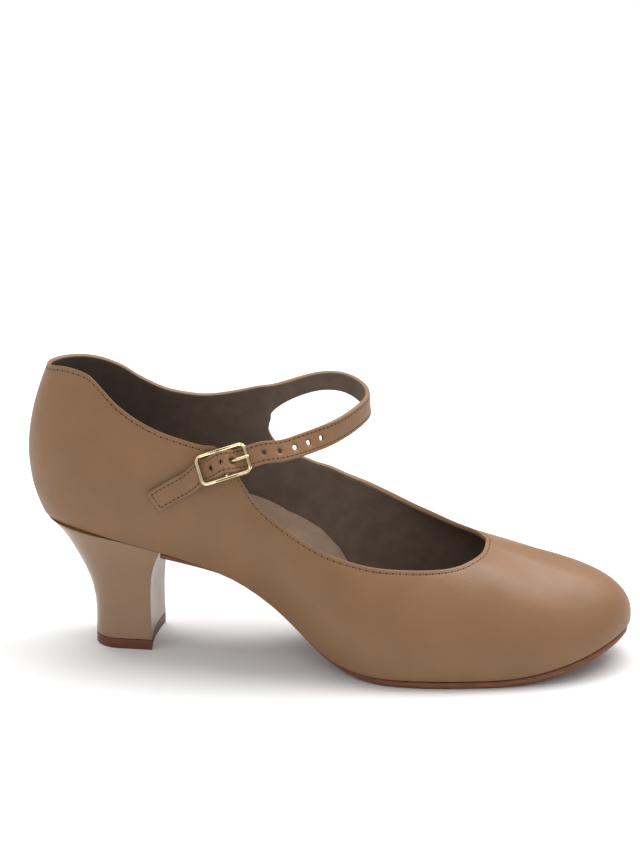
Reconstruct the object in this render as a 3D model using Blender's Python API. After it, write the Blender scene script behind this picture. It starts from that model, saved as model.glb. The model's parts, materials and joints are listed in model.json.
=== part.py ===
"""Character shoe for the right foot: a hollow leather upper with its instep strap, on a low Cuban heel.

The shoe is worked out along three directions: along runs from the back of the upper to the
toe, across runs from the midline to the inner side, and up runs from the floor. A section is
one place on the way round the foot, from the middle of the back along the outer side to the
toe and back along the inner side. Each section has a foot on the feather line, where the
upper meets the sole, and a rim above the topline, with a curved wall between them.
"""
import math

import bmesh
import bpy
import numpy as np
from mathutils import Vector

# Driving sizes, in metres
LENGTH = 0.240
BALL_WIDTH = 0.078
HEEL_HEIGHT = 0.052
UPPER_DEPTH = 0.064
TOE_SPRING = 0.012
WALL = 0.0018
CLEARANCE = 0.0003

# Sole, insole and heel, in metres
SOLE_THICKNESS = 0.0030
SHANK_THICKNESS = 0.0022
SOLE_EDGE_ROUND = 0.0007
SHANK_TUCK = 0.0055
INSOLE_THICKNESS = 0.0025
MARGIN = 0.009
INSOLE_EDGE_ROUND = 0.0006
FEATHER_ROUND = 0.0012
TOP_PIECE_THICKNESS = 0.0040
TREAD_REACH = 0.00012

# Strap and buckle, in metres and degrees
STRAP_WIDTH = 0.0088
STRAP_ROOT_WIDTH = 0.0103
BUCKLE_LENGTH = 0.0210
BUCKLE_BAR = 0.0017
BUCKLE_THICKNESS = 0.0016
BUCKLE_CORNER = 0.0028
BUCKLE_EDGE_ROUND = 0.00035
CENTRE_BAR = 0.0014
CHAPE_THICKNESS = 0.0008
CHAPE_WIDTH = 0.0072
PRONG_DIAMETER = 0.0012
BUCKLE_YAW = 11.8
BUCKLE_PITCH = 17.2
BUCKLE_ROLL = 26.0

TOP = HEEL_HEIGHT + UPPER_DEPTH
FEATHER_GAP = SOLE_THICKNESS + CLEARANCE
SECTION_COUNT = 28
TOE_SECTION = 14
WALL_ROWS = 9
ROOT_ROWS = 5
HOOP_STATIONS = 26
BUCKLE_CORNER_STEPS = 4
PRONG_SIDES = 8

# Feather line from the back to the toe: place along the shoe as a share of LENGTH, rise as a
# share of the seat's rise above the tread, and spring as a share of TOE_SPRING
FEATHER = (
    # along, rise, spring
    (0.00, 1.005, 0.00),
    (0.06, 1.000, 0.00),
    (0.10, 0.980, 0.00),
    (0.15, 0.944, 0.00),
    (0.19, 0.905, 0.00),
    (0.23, 0.856, 0.00),
    (0.27, 0.799, 0.00),
    (0.31, 0.733, 0.00),
    (0.36, 0.629, 0.00),
    (0.40, 0.514, 0.00),
    (0.44, 0.375, 0.00),
    (0.48, 0.220, 0.00),
    (0.52, 0.092, 0.00),
    (0.56, 0.028, 0.00),
    (0.60, 0.004, 0.00),
    (0.65, 0.000, 0.00),
    (0.77, 0.000, 0.00),
    (0.82, 0.000, 0.03),
    (0.86, 0.000, 0.14),
    (0.90, 0.000, 0.32),
    (0.94, 0.000, 0.56),
    (0.97, 0.000, 0.79),
    (1.00, 0.000, 1.00),
)

# Sections in order round the foot. Lengths along are shares of LENGTH, lengths across, swell and
# lean are shares of BALL_WIDTH, and heights are shares of UPPER_DEPTH above the feather line.
# swell and swell_up bend the wall outwards at its foot, lean and lean_down bend it at its rim,
# and cut is the share of the wall's height at which the topline runs.
SECTIONS = (
    # name, foot along, foot across, rim along, rim across, rim up, swell, swell_up, lean, lean_down, cut
    ("back", 0.027, 0.000, 0.042, 0.000, 1.00, 0.135, 0.31, 0.122, 0.34, 0.962),
    ("outer back", 0.042, -0.126, 0.054, -0.110, 1.00, 0.103, 0.31, 0.096, 0.34, 0.981),
    ("outer seat", 0.083, -0.237, 0.100, -0.192, 1.01, 0.090, 0.31, 0.090, 0.34, 0.989),
    ("outer quarter", 0.150, -0.305, 0.171, -0.267, 0.96, 0.077, 0.31, 0.077, 0.34, 0.900),
    ("outer breast", 0.237, -0.321, 0.254, -0.318, 0.90, 0.077, 0.31, 0.077, 0.28, 0.863),
    ("outer waist", 0.333, -0.301, 0.333, -0.300, 0.94, 0.115, 0.34, 0.100, 0.25, 0.863),
    ("outer shank", 0.417, -0.321, 0.417, -0.326, 0.84, 0.128, 0.34, 0.090, 0.20, 0.699),
    ("outer joint", 0.508, -0.429, 0.496, -0.365, 0.89, 0.115, 0.31, 0.109, 0.19, 0.732),
    ("outer ball", 0.604, -0.532, 0.567, -0.346, 0.82, 0.064, 0.28, 0.141, 0.16, 0.779),
    ("outer tread", 0.688, -0.535, 0.625, -0.295, 0.76, 0.051, 0.27, 0.179, 0.12, 0.787),
    ("outer vamp", 0.771, -0.494, 0.675, -0.224, 0.73, 0.051, 0.25, 0.231, 0.11, 0.806),
    ("outer toe", 0.856, -0.423, 0.706, -0.141, 0.69, 0.051, 0.25, 0.308, 0.11, 0.852),
    ("outer toe corner", 0.942, -0.276, 0.721, -0.071, 0.59, 0.051, 0.27, 0.397, 0.12, 0.902),
    ("outer tip", 0.985, -0.109, 0.725, -0.013, 0.53, 0.051, 0.30, 0.462, 0.12, 0.922),
    ("tip", 0.998, 0.051, 0.727, 0.032, 0.52, 0.051, 0.30, 0.487, 0.12, 0.933),
    ("inner tip", 0.985, 0.199, 0.725, 0.077, 0.53, 0.051, 0.29, 0.462, 0.12, 0.935),
    ("inner toe corner", 0.946, 0.333, 0.723, 0.122, 0.58, 0.051, 0.27, 0.385, 0.12, 0.936),
    ("inner toe", 0.867, 0.429, 0.706, 0.192, 0.67, 0.051, 0.24, 0.250, 0.12, 0.922),
    ("inner vamp", 0.779, 0.468, 0.669, 0.269, 0.74, 0.051, 0.24, 0.167, 0.13, 0.905),
    ("inner tread", 0.700, 0.455, 0.621, 0.318, 0.81, 0.051, 0.27, 0.141, 0.14, 0.891),
    ("inner ball", 0.617, 0.397, 0.567, 0.340, 0.93, 0.077, 0.30, 0.115, 0.17, 0.860),
    ("inner joint", 0.517, 0.276, 0.496, 0.327, 1.11, 0.128, 0.36, 0.103, 0.22, 0.740),
    ("inner shank", 0.421, 0.203, 0.421, 0.288, 1.21, 0.192, 0.44, 0.103, 0.28, 0.552),
    ("inner waist", 0.333, 0.224, 0.333, 0.308, 1.05, 0.154, 0.38, 0.077, 0.28, 0.873),
    ("inner breast", 0.237, 0.295, 0.254, 0.318, 0.90, 0.090, 0.31, 0.077, 0.28, 0.864),
    ("inner quarter", 0.150, 0.303, 0.171, 0.267, 0.96, 0.077, 0.31, 0.077, 0.34, 0.874),
    ("inner seat", 0.083, 0.237, 0.100, 0.192, 1.01, 0.090, 0.31, 0.090, 0.34, 0.937),
    ("inner back", 0.042, 0.126, 0.054, 0.110, 1.00, 0.103, 0.31, 0.096, 0.34, 0.956),
)

# The strap grows out of the inner side at this place, counted in sections from the back: the
# ring of sections runs from there round the back, the outer side and the toe to the same place
ROOT_PLACE = -5.52
ROOT_CUT = 0.904
ROOT_FRONT_CUT = 0.651
CORNER_PLACE = 5.56
CORNER_CUT = 0.763

# Turns of the topline between two sections
TOPLINE_TURNS = (
    # place, cut
    (ROOT_PLACE, ROOT_CUT),
    (-5.25, 0.884),
    (-3.50, 0.850),
    (-2.70, 0.905),
    (1.50, 0.991),
    (2.25, 0.985),
    (2.60, 0.947),
    (3.40, 0.877),
    (4.70, 0.832),
    (CORNER_PLACE, CORNER_CUT),
    (5.75, 0.713),
    (21.50, 0.625),
    (22.20, 0.548),
    (22.36, 0.578),
    (22.44, 0.616),
    (ROOT_PLACE + SECTION_COUNT, ROOT_FRONT_CUT),
)

# Mesh columns between two places on the ring
COLUMN_SPANS = (
    # from place, to place, columns
    (ROOT_PLACE, -5.0, 3),
    (-5.0, -2.2, 11),
    (-2.2, 1.9, 15),
    (1.9, 3.0, 6),
    (3.0, 4.7, 6),
    (4.7, CORNER_PLACE, 5),
    (CORNER_PLACE, 6.3, 4),
    (6.3, 11.0, 15),
    (11.0, 16.6, 18),
    (16.6, 21.2, 14),
    (21.2, 22.1, 4),
    (22.1, ROOT_PLACE + SECTION_COUNT, 5),
)

# The strap's centre line between its root and the buckle: shares of LENGTH, BALL_WIDTH and TOP,
# and the lean of its face from upright, in degrees
STRAP_HOOP = (
    # name, along, across, up, lean
    ("leaves the inner side", 0.405, 0.377, 0.831, 19.0),
    ("inner side", 0.454, 0.405, 0.861, 25.0),
    ("inner bend", 0.508, 0.382, 0.871, 15.0),
    ("front", 0.546, 0.288, 0.855, 4.0),
    ("crest", 0.562, 0.167, 0.839, 4.0),
    ("over the instep", 0.550, 0.032, 0.821, 4.0),
    ("outer bend", 0.515, -0.135, 0.798, 10.0),
    ("outer side", 0.469, -0.278, 0.785, 34.0),
    ("towards the buckle", 0.437, -0.332, 0.774, 38.0),
)

# Middle of the buckle's frame, in shares of LENGTH, BALL_WIDTH and TOP
BUCKLE_PLACE = (0.348, -0.406, 0.733)

# Stations of the strap through the buckle: shares of half the buckle's length from its middle, and
# how far the strap has sunk and strayed past the rear bar, as shares of its own width
BUCKLE_RUN = (
    # along, sunk, strayed
    (1.44, 0.00, 0.00),
    (1.20, 0.00, 0.00),
    (0.92, 0.00, 0.00),
    (0.80, 0.00, 0.00),
    (0.68, 0.00, 0.00),
    (0.56, 0.00, 0.00),
    (0.44, 0.00, 0.00),
    (0.33, 0.00, 0.00),
    (0.22, 0.00, 0.00),
    (-0.11, 0.00, 0.00),
    (-0.23, 0.00, 0.00),
    (-0.36, 0.00, 0.00),
    (-0.49, 0.00, 0.00),
    (-0.63, 0.00, 0.00),
    (-0.78, 0.00, 0.00),
    (-0.92, 0.01, -0.03),
    (-1.07, 0.05, -0.09),
    (-1.25, 0.13, -0.18),
)
HOLE_STATION = 8

# The strap's tail on the outer quarter: place on the ring and share of the wall's height
TAIL = (
    # place, height share
    (4.43, 0.556),
    (4.24, 0.502),
    (4.05, 0.441),
    (3.88, 0.379),
)

# How far the sole is tucked in along the feather line, as a share of SHANK_TUCK
SOLE_TUCKS = (
    # place, share
    (3.9, 0.15),
    (4.4, 0.50),
    (5.0, 1.00),
    (6.2, 1.00),
    (7.0, 0.70),
    (8.0, 0.28),
    (9.0, 0.15),
    (14.0, 0.18),
)

# Heel from its top piece to its seat: level as a share of the heel's height, back and breast as
# shares of LENGTH, half width as a share of BALL_WIDTH, and how square its rear corners are
HEEL_LEVELS = (
    # level, back, breast, half width, squareness
    (0.00, 0.1130, 0.2146, 0.199, 2.7),
    (0.20, 0.1133, 0.2138, 0.197, 2.6),
    (0.42, 0.1071, 0.2138, 0.208, 2.4),
    (0.60, 0.0929, 0.2163, 0.228, 2.2),
    (0.75, 0.0758, 0.2208, 0.256, 2.1),
    (0.90, 0.0550, 0.2292, 0.288, 2.0),
    (1.00, 0.0330, 0.2358, 0.306, 2.0),
)
HEEL_REAR_SHARE = 0.55
HEEL_SIDE_STEPS = 4
HEEL_REAR_STEPS = 24
BREAST_HOLLOW = 0.0012

# Colours in linear red, green and blue, roughness and metallic value
MATERIALS = {
    "upper": ("tan leather", (0.235, 0.130, 0.070), 0.50, 0.0),
    "outsole": ("sole leather", (0.130, 0.040, 0.018), 0.60, 0.0),
    "heel": ("covered heel", (0.260, 0.150, 0.085), 0.40, 0.0),
    "top_piece": ("heel rubber", (0.065, 0.026, 0.014), 0.70, 0.0),
    "insole": ("insole leather", (0.270, 0.160, 0.105), 0.70, 0.0),
    "buckle_frame": ("gilt brass", (0.700, 0.560, 0.260), 0.25, 1.0),
    "buckle_prong": ("gilt brass", (0.700, 0.560, 0.260), 0.25, 1.0),
    "buckle_chape": ("tan leather", (0.235, 0.130, 0.070), 0.50, 0.0),
}


def natural_spline(knots, values, at):
    """Value at each place of the smooth curve that passes through the knots, ends unbent."""
    knots = np.asarray(knots, float)
    values = np.asarray(values, float)
    if values.ndim == 1:
        return natural_spline(knots, values[:, None], at)[..., 0]
    at = np.asarray(at, float)
    count = len(knots)
    step = np.diff(knots)
    system = np.zeros((count, count))
    right = np.zeros((count, values.shape[1]))
    system[0, 0] = system[-1, -1] = 1.0
    slope = np.diff(values, axis=0) / step[:, None]
    for i in range(1, count - 1):
        system[i, i - 1:i + 2] = step[i - 1], 2.0 * (step[i - 1] + step[i]), step[i]
        right[i] = 6.0 * (slope[i] - slope[i - 1])
    bend = np.linalg.solve(system, right)
    i = np.clip(np.searchsorted(knots, at, side="right") - 1, 0, count - 2)
    offset = (at - knots[i])[..., None]
    width = step[i][..., None]
    first = slope[i] - width * (2.0 * bend[i] + bend[i + 1]) / 6.0
    return values[i] + first * offset + bend[i] / 2.0 * offset ** 2 \
        + (bend[i + 1] - bend[i]) / (6.0 * width) * offset ** 3


def ring_spline(knots, values, at):
    """Value at each place of the smooth closed curve whose last knot is the first one again."""
    count = len(values)
    step = np.diff(knots)
    system = np.zeros((count, count))
    right = np.zeros_like(values)
    for i in range(count):
        before, after = (i - 1) % count, (i + 1) % count
        system[i, before] += step[before]
        system[i, i] += 2.0 * (step[before] + step[i])
        system[i, after] += step[i]
        right[i] = 6.0 * ((values[after] - values[i]) / step[i] - (values[i] - values[before]) / step[before])
    bend = np.linalg.solve(system, right)
    at = np.mod(at, knots[-1])
    i = np.clip(np.searchsorted(knots, at, side="right") - 1, 0, count - 1)
    j = (i + 1) % count
    offset = (at - knots[i])[:, None]
    width = step[i][:, None]
    first = (values[j] - values[i]) / width - width * (2.0 * bend[i] + bend[j]) / 6.0
    return values[i] + first * offset + bend[i] / 2.0 * offset ** 2 \
        + (bend[j] - bend[i]) / (6.0 * width) * offset ** 3


def steady_curve(knots, values, at):
    """Value at each place of a curve through the knots that never swings past two neighbours."""
    knots = np.asarray(knots, float)
    values = np.asarray(values, float)
    step = np.diff(knots)
    slope = np.diff(values) / step
    tangent = np.zeros_like(values)
    same_way = slope[:-1] * slope[1:] > 0.0
    inner = np.where(same_way, 2.0 * slope[:-1] * slope[1:] / np.where(same_way, slope[:-1] + slope[1:], 1.0), 0.0)
    tangent[1:-1] = inner
    tangent[0], tangent[-1] = slope[0], slope[-1]
    at = np.asarray(at, float)
    i = np.clip(np.searchsorted(knots, at, side="right") - 1, 0, len(knots) - 2)
    t = (at - knots[i]) / step[i]
    return (values[i] * (1.0 + 2.0 * t) * (1.0 - t) ** 2 + step[i] * tangent[i] * t * (1.0 - t) ** 2
            + values[i + 1] * t * t * (3.0 - 2.0 * t) + step[i] * tangent[i + 1] * t * t * (t - 1.0))


def unit(vectors):
    """The same directions with a length of one."""
    vectors = np.asarray(vectors, float)
    return vectors / np.linalg.norm(vectors, axis=-1, keepdims=True)


def feather_height(along, offset=0.0):
    """Height of the upper's underside above the floor, or of a face at an offset from it."""
    table = np.array(FEATHER)

    def height(place):
        share = np.clip(place / LENGTH, 0.0, 1.0)
        rise = natural_spline(table[:, 0], table[:, 1], share)
        spring = natural_spline(table[:, 0], table[:, 2], share)
        return FEATHER_GAP + rise * (HEEL_HEIGHT - FEATHER_GAP) + spring * TOE_SPRING

    along = np.asarray(along, float)
    small = LENGTH / 500.0
    slope = (height(along + small) - height(along - small)) / (2.0 * small)
    return height(along) + offset * np.sqrt(1.0 + slope * slope)


def section_table():
    """The sections in metres: foot, rim, swell and lean, without the names and cuts."""
    scale = np.array((LENGTH, BALL_WIDTH, LENGTH, BALL_WIDTH, UPPER_DEPTH,
                      BALL_WIDTH, UPPER_DEPTH, BALL_WIDTH, UPPER_DEPTH))
    return np.array([row[1:10] for row in SECTIONS]) * scale


def section_knots():
    """Distance round the feather line at each section, and at the first one again."""
    feet = section_table()[:, :2]
    return np.concatenate(([0.0], np.cumsum(np.linalg.norm(np.roll(feet, -1, axis=0) - feet, axis=1))))


def wall_controls(places):
    """The four control points of the wall's curve at each place on the ring, and its way out."""
    table = section_table()
    knots = section_knots()
    numbers = np.arange(SECTION_COUNT + 1)
    at = np.interp(np.mod(places, SECTION_COUNT), numbers, knots)
    rows = ring_spline(knots, table, at)
    small = knots[-1] * 1e-4
    forward = ring_spline(knots, table, at + small) - ring_spline(knots, table, at - small)
    way_out_foot = unit(np.column_stack((forward[:, 1], -forward[:, 0])))
    way_out_rim = unit(np.column_stack((forward[:, 3], -forward[:, 2])))
    base = feather_height(rows[:, 0])
    foot = np.column_stack((rows[:, 0], rows[:, 1], base))
    rim = np.column_stack((rows[:, 2], rows[:, 3], base + rows[:, 4]))
    swell = foot + np.column_stack((way_out_foot * rows[:, 5:6], rows[:, 6]))
    lean = rim + np.column_stack((way_out_rim * rows[:, 7:8], -rows[:, 8]))
    return foot, swell, lean, rim, way_out_foot


def wall_points(places, heights):
    """Points of the upper's outer face at each place on the ring and share of its height."""
    foot, swell, lean, rim, _ = wall_controls(np.atleast_1d(places))
    t = np.asarray(heights, float)[..., None]
    if t.ndim == 2:
        t = t[None]
    return ((1.0 - t) ** 3 * foot[:, None] + 3.0 * (1.0 - t) ** 2 * t * swell[:, None]
            + 3.0 * (1.0 - t) * t * t * lean[:, None] + t ** 3 * rim[:, None])


def wall_point(place, height):
    """One point of the upper's outer face and the direction out of it."""
    small = 0.004
    point = wall_points([place], [height])[0, 0]
    round_way = wall_points([place + small], [height])[0, 0] - wall_points([place - small], [height])[0, 0]
    up_way = wall_points([place], [height + small])[0, 0] - wall_points([place], [height - small])[0, 0]
    return point, unit(np.cross(round_way, up_way))


def topline(places):
    """Share of the wall's height at which the topline runs."""
    rows = [(float(i), row[-1]) for i, row in enumerate(SECTIONS[:23])]
    rows += [(float(i) - SECTION_COUNT, SECTIONS[i][-1]) for i in range(23, SECTION_COUNT)]
    rows = sorted(rows + list(TOPLINE_TURNS))
    return steady_curve([row[0] for row in rows], [row[1] for row in rows], places)


def ring_places():
    """Places of the mesh columns from the strap's root round to the root again."""
    places = [ROOT_PLACE]
    for start, end, count in COLUMN_SPANS:
        places += list(start + (end - start) * np.arange(1, count + 1) / count)
    return np.array(places[:-1])


def foot_outline(places, inset):
    """Plan of the feather line, moved inwards by the inset."""
    foot, _, _, _, way_out = wall_controls(places)
    return foot[:, :2] - way_out * np.reshape(inset, (-1, 1))


def buckle_axes():
    """Directions along the strap, across it and out of the buckle's face."""
    yaw, pitch, roll = (math.radians(a) for a in (BUCKLE_YAW, BUCKLE_PITCH, BUCKLE_ROLL))
    along = np.array((math.cos(pitch) * math.cos(yaw), math.cos(pitch) * math.sin(yaw), math.sin(pitch)))
    level = np.array((math.sin(yaw), -math.cos(yaw), 0.0))
    upright = np.cross(level, along)
    upright = upright if upright[2] > 0.0 else -upright
    out = level * math.cos(roll) + upright * math.sin(roll)
    return along, np.cross(out, along), out


def buckle_point(along, across, lift):
    """A point placed from the middle of the buckle's frame."""
    axes = buckle_axes()
    centre = np.array(BUCKLE_PLACE) * (LENGTH, BALL_WIDTH, TOP)
    return centre + axes[0] * along + axes[1] * across + axes[2] * lift


def strap_lift(along):
    """Height of the strap's outer face over the buckle's middle plane."""
    under = -(BUCKLE_THICKNESS / 2.0 + CLEARANCE)
    over = BUCKLE_THICKNESS / 2.0 + CHAPE_THICKNESS + WALL + 3.0 * CLEARANCE
    reach = BUCKLE_LENGTH / 2.0 - BUCKLE_BAR - CLEARANCE
    share = min(1.0, abs(along) / reach)
    return under + (over - under) * math.cos(math.pi / 2.0 * share) ** 2


def strap_keys():
    """Centre and width direction of the strap's outer face at its keys, from root to tail."""
    centres = []
    widths = []
    hoop = np.array([row[1:4] for row in STRAP_HOOP]) * (LENGTH, BALL_WIDTH, TOP)
    root = wall_points([ROOT_PLACE], [(ROOT_CUT + ROOT_FRONT_CUT) / 2.0])[0, 0]
    entry = buckle_point(0.72 * BUCKLE_LENGTH, 0.0, strap_lift(BUCKLE_LENGTH))
    path = np.vstack((root, hoop, entry))
    for i, row in enumerate(STRAP_HOOP):
        tangent = unit(path[i + 2] - path[i])
        upright = unit(np.array((0.0, 0.0, 1.0)) - tangent * tangent[2])
        side = np.cross(tangent, upright)
        lean = math.radians(row[4])
        centres.append(hoop[i])
        widths.append(upright * math.cos(lean) + side * math.sin(lean))
    across = buckle_axes()[1]
    across = across if across[2] > 0.0 else -across
    half = BUCKLE_LENGTH / 2.0
    for share, sunk, strayed in BUCKLE_RUN:
        lift = strap_lift(share * half) - sunk * STRAP_WIDTH
        centres.append(buckle_point(share * half, strayed * STRAP_WIDTH, lift))
        widths.append(across)
    tail_points = []
    for place, height in TAIL:
        point, out = wall_point(place, height)
        tail_points.append((point + out * (WALL + 2.0 * CLEARANCE), out))
    before = centres[-1]
    for i, (point, out) in enumerate(tail_points):
        after = tail_points[min(i + 1, len(tail_points) - 1)][0]
        tangent = unit(after - before)
        cross = unit(np.cross(out, tangent))
        centres.append(point)
        widths.append(cross if cross[2] > 0.0 else -cross)
        before = point
    return np.array(centres), np.array(widths)


def strap_stations():
    """Sampled centres, width directions and widths of the strap past its root."""
    centres, widths = strap_keys()
    run = np.concatenate(([0.0], np.cumsum(np.linalg.norm(np.diff(centres, axis=0), axis=1))))
    hoop_end = run[len(STRAP_HOOP)]
    tail_start = run[-len(TAIL) - 1]
    at = np.concatenate((np.linspace(0.0, hoop_end, HOOP_STATIONS + 1)[:-1], run[len(STRAP_HOOP):-len(TAIL) - 1],
                         np.linspace(tail_start, run[-1], 8)))
    centre = natural_spline(run, centres, at)
    tangent = unit(np.gradient(centre, axis=0))
    width = natural_spline(run, widths, at)
    width = unit(width - tangent * np.sum(width * tangent, axis=1, keepdims=True))
    full = STRAP_WIDTH + (STRAP_ROOT_WIDTH - STRAP_WIDTH) * np.exp(-at / (STRAP_WIDTH / 2.0))
    return centre, width, full


def new_object(name, mesh):
    """An object for the mesh with its own material, moved so that the heel's rest is the origin."""
    obj = bpy.data.objects.new(name, mesh)
    bpy.context.scene.collection.objects.link(obj)
    label, colour, roughness, metallic = MATERIALS[name]
    material = bpy.data.materials.new(f"{label} of {name}")
    material.use_nodes = True
    shader = material.node_tree.nodes["Principled BSDF"]
    shader.inputs["Base Color"].default_value = (*colour, 1.0)
    shader.inputs["Roughness"].default_value = roughness
    shader.inputs["Metallic"].default_value = metallic
    material.diffuse_color = (*colour, 1.0)
    mesh.materials.append(material)
    return obj


def grid_mesh(name, points, faces):
    """A mesh from points and faces, with the same way out for every face."""
    work = bmesh.new()
    verts = [work.verts.new(Vector(p) - Vector((heel_rest_along(), 0.0, 0.0))) for p in points]
    for face in faces:
        corners = []
        for index in face:
            if not corners or verts[index] is not corners[-1]:
                corners.append(verts[index])
        if corners[0] is corners[-1]:
            corners.pop()
        if len(corners) > 2:
            work.faces.new(corners)
    bmesh.ops.recalc_face_normals(work, faces=work.faces)
    mesh = bpy.data.meshes.new(name)
    work.to_mesh(mesh)
    work.free()
    return mesh


def smooth(obj, degrees=40.0):
    """Shade the object smooth except across sharp edges."""
    obj.data.shade_smooth()
    obj.data.set_sharp_from_angle(angle=math.radians(degrees))


def heel_rest_along():
    """Place along the shoe of the middle of the heel's resting face."""
    return (HEEL_LEVELS[0][1] + HEEL_LEVELS[0][2]) / 2.0 * LENGTH


def upper_skin():
    """Points and faces of the upper's outer face with its lasting margin and its strap."""
    points = []
    faces = []
    places = ring_places()
    count = len(places)
    cut = topline(places)
    foot, swell, _, _, way_out = wall_controls(places)
    rear = places <= CORNER_PLACE + 1e-9
    middle = CORNER_CUT + (ROOT_FRONT_CUT - CORNER_CUT) * (CORNER_PLACE - places) / (CORNER_PLACE - ROOT_PLACE)
    crest = np.where(rear, middle, cut)
    start = FEATHER_ROUND / (3.0 * (swell[:, 2] - foot[:, 2]))
    grid = np.zeros((count, WALL_ROWS + 2 + ROOT_ROWS), int)

    def add(point):
        points.append(tuple(point))
        return len(points) - 1

    for i, place in enumerate(places):
        inner = foot[i].copy()
        inner[:2] -= way_out[i] * MARGIN
        edge = foot[i].copy()
        edge[:2] -= way_out[i] * FEATHER_ROUND
        inner[2], edge[2] = feather_height((inner[0], edge[0]))
        grid[i, 0] = add(inner)
        grid[i, 1] = add(edge)
        heights = np.linspace(start[i], crest[i], WALL_ROWS)
        for j, point in enumerate(wall_points([place], heights)[0]):
            grid[i, 2 + j] = add(point)
        last = grid[i, WALL_ROWS + 1]
        if rear[i] and crest[i] < cut[i] - 1e-6:
            heights = np.linspace(crest[i], cut[i], ROOT_ROWS + 1)[1:]
            for j, point in enumerate(wall_points([place], heights)[0]):
                grid[i, WALL_ROWS + 2 + j] = add(point)
        else:
            grid[i, WALL_ROWS + 2:] = last
    for i in range(count):
        k = (i + 1) % count
        for j in range(WALL_ROWS + 1):
            faces.append((grid[i, j], grid[k, j], grid[k, j + 1], grid[i, j + 1]))
        if k and rear[i] and rear[k]:
            for j in range(WALL_ROWS + 1, WALL_ROWS + 1 + ROOT_ROWS):
                faces.append((grid[i, j], grid[k, j], grid[k, j + 1], grid[i, j + 1]))
    root = grid[0, WALL_ROWS + 1:]
    centre, width, full = strap_stations()
    hole = HOOP_STATIONS + HOLE_STATION + 1
    before = list(root)
    for i in range(len(centre)):
        row = [add(centre[i] + width[i] * full[i] * (j / ROOT_ROWS - 0.5)) for j in range(ROOT_ROWS + 1)]
        for j in range(ROOT_ROWS):
            if not (i == hole and j == ROOT_ROWS // 2):
                faces.append((before[j], before[j + 1], row[j + 1], row[j]))
        before = row
    return points, faces


def make_upper():
    """The upper with its strap, one wall open at the collar, the throat and underneath."""
    points, faces = upper_skin()
    mesh = grid_mesh("upper", points, faces)
    obj = new_object("upper", mesh)
    wall = obj.modifiers.new("wall", "SOLIDIFY")
    wall.thickness = WALL
    wall.offset = -1.0
    wall.use_even_offset = True
    wall.use_quality_normals = True
    wall.thickness_clamp = 1.0
    smooth(obj, 50.0)
    return obj


def plate_inside(places, inset, top_height, bottom_height, edge_round, round_back):
    """Points and faces of a plate inside the feather line, between the two sides of the foot.

    The places run along the outer side towards the tip, and the inner side has their mirror
    places. The inset at a place and the top and bottom heights at a length are functions.
    """
    points = []
    shares = np.linspace(0.0, 1.0, 5)

    def add(plan, height):
        points.append((plan[0], plan[1], float(height)))
        return len(points) - 1

    def edges(place):
        mirror = min(place, SECTION_COUNT - place)
        at = np.array([place])
        return foot_outline(at, inset(mirror) + edge_round)[0], foot_outline(at, inset(mirror))[0]

    def rim(near, edge):
        return [add(edge, top_height(edge[0]) - edge_round), add(edge, bottom_height(edge[0]) + edge_round)]

    rows = []
    for place in places:
        (left, left_edge), (right, right_edge) = edges(place), edges(SECTION_COUNT - place)
        across = [left + (right - left) * share for share in shares]
        row = [add(p, top_height(p[0])) for p in across] + rim(right, right_edge)
        row += [add(p, bottom_height(p[0])) for p in reversed(across)] + rim(left, left_edge)[::-1]
        rows.append(row)
    faces = []
    for a, b in zip(rows, rows[1:]):
        size = len(a)
        faces += [(a[j], a[(j + 1) % size], b[(j + 1) % size], b[j]) for j in range(size)]

    def close(row, place):
        near, edge = edges(place)
        high, side_high, side_low, low = add(near, top_height(near[0])), *rim(near, edge), \
            add(near, bottom_height(near[0]))
        faces.extend((row[j], row[j + 1], high) for j in range(4))
        faces.extend((row[j], row[j + 1], low) for j in range(7, 11))
        faces.extend([(row[4], row[5], side_high, high), (row[5], row[6], side_low, side_high),
                      (row[6], row[7], low, side_low), (row[11], row[12], side_low, low),
                      (row[12], row[13], side_high, side_low), (row[13], row[0], high, side_high)])

    close(rows[-1], float(TOE_SECTION))
    if round_back:
        close(rows[0], 0.0)
    else:
        first = rows[0]
        faces += [(first[j], first[j + 1], first[10 - j], first[11 - j]) for j in range(4)]
        faces += [(first[4], first[5], first[6], first[7]), (first[11], first[12], first[13], first[0])]
    return points, faces


def sole_inset(place):
    """Distance of the sole's edge inside the feather line: tucked in under the arch."""
    return SHANK_TUCK * float(np.interp(place, [row[0] for row in SOLE_TUCKS], [row[1] for row in SOLE_TUCKS]))


def sole_bottom(along):
    """Underside of the sole, flat on the floor under the ball."""
    share = float(np.interp(along / LENGTH, (0.48, 0.58), (0.0, 1.0)))
    thickness = SHANK_THICKNESS + (SOLE_THICKNESS - SHANK_THICKNESS) * share
    height = float(feather_height(along, -CLEARANCE - thickness))
    return 0.0 if height < TREAD_REACH else height


def make_outsole():
    """The leather sole from the heel's breast to the toe."""
    breast = HEEL_LEVELS[-1][2] * LENGTH + CLEARANCE
    fine = np.linspace(3.0, 5.0, 200)
    first = float(np.interp(breast, foot_outline(fine, SHANK_TUCK * SOLE_TUCKS[0][1])[:, 0], fine))
    places = np.concatenate((np.linspace(first, 12.0, 34), np.linspace(12.2, 13.85, 9)))
    points, faces = plate_inside(places, sole_inset, lambda a: feather_height(a, -CLEARANCE),
                                 sole_bottom, SOLE_EDGE_ROUND, False)
    obj = new_object("outsole", grid_mesh("outsole", points, faces))
    smooth(obj, 50.0)
    return obj


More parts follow.
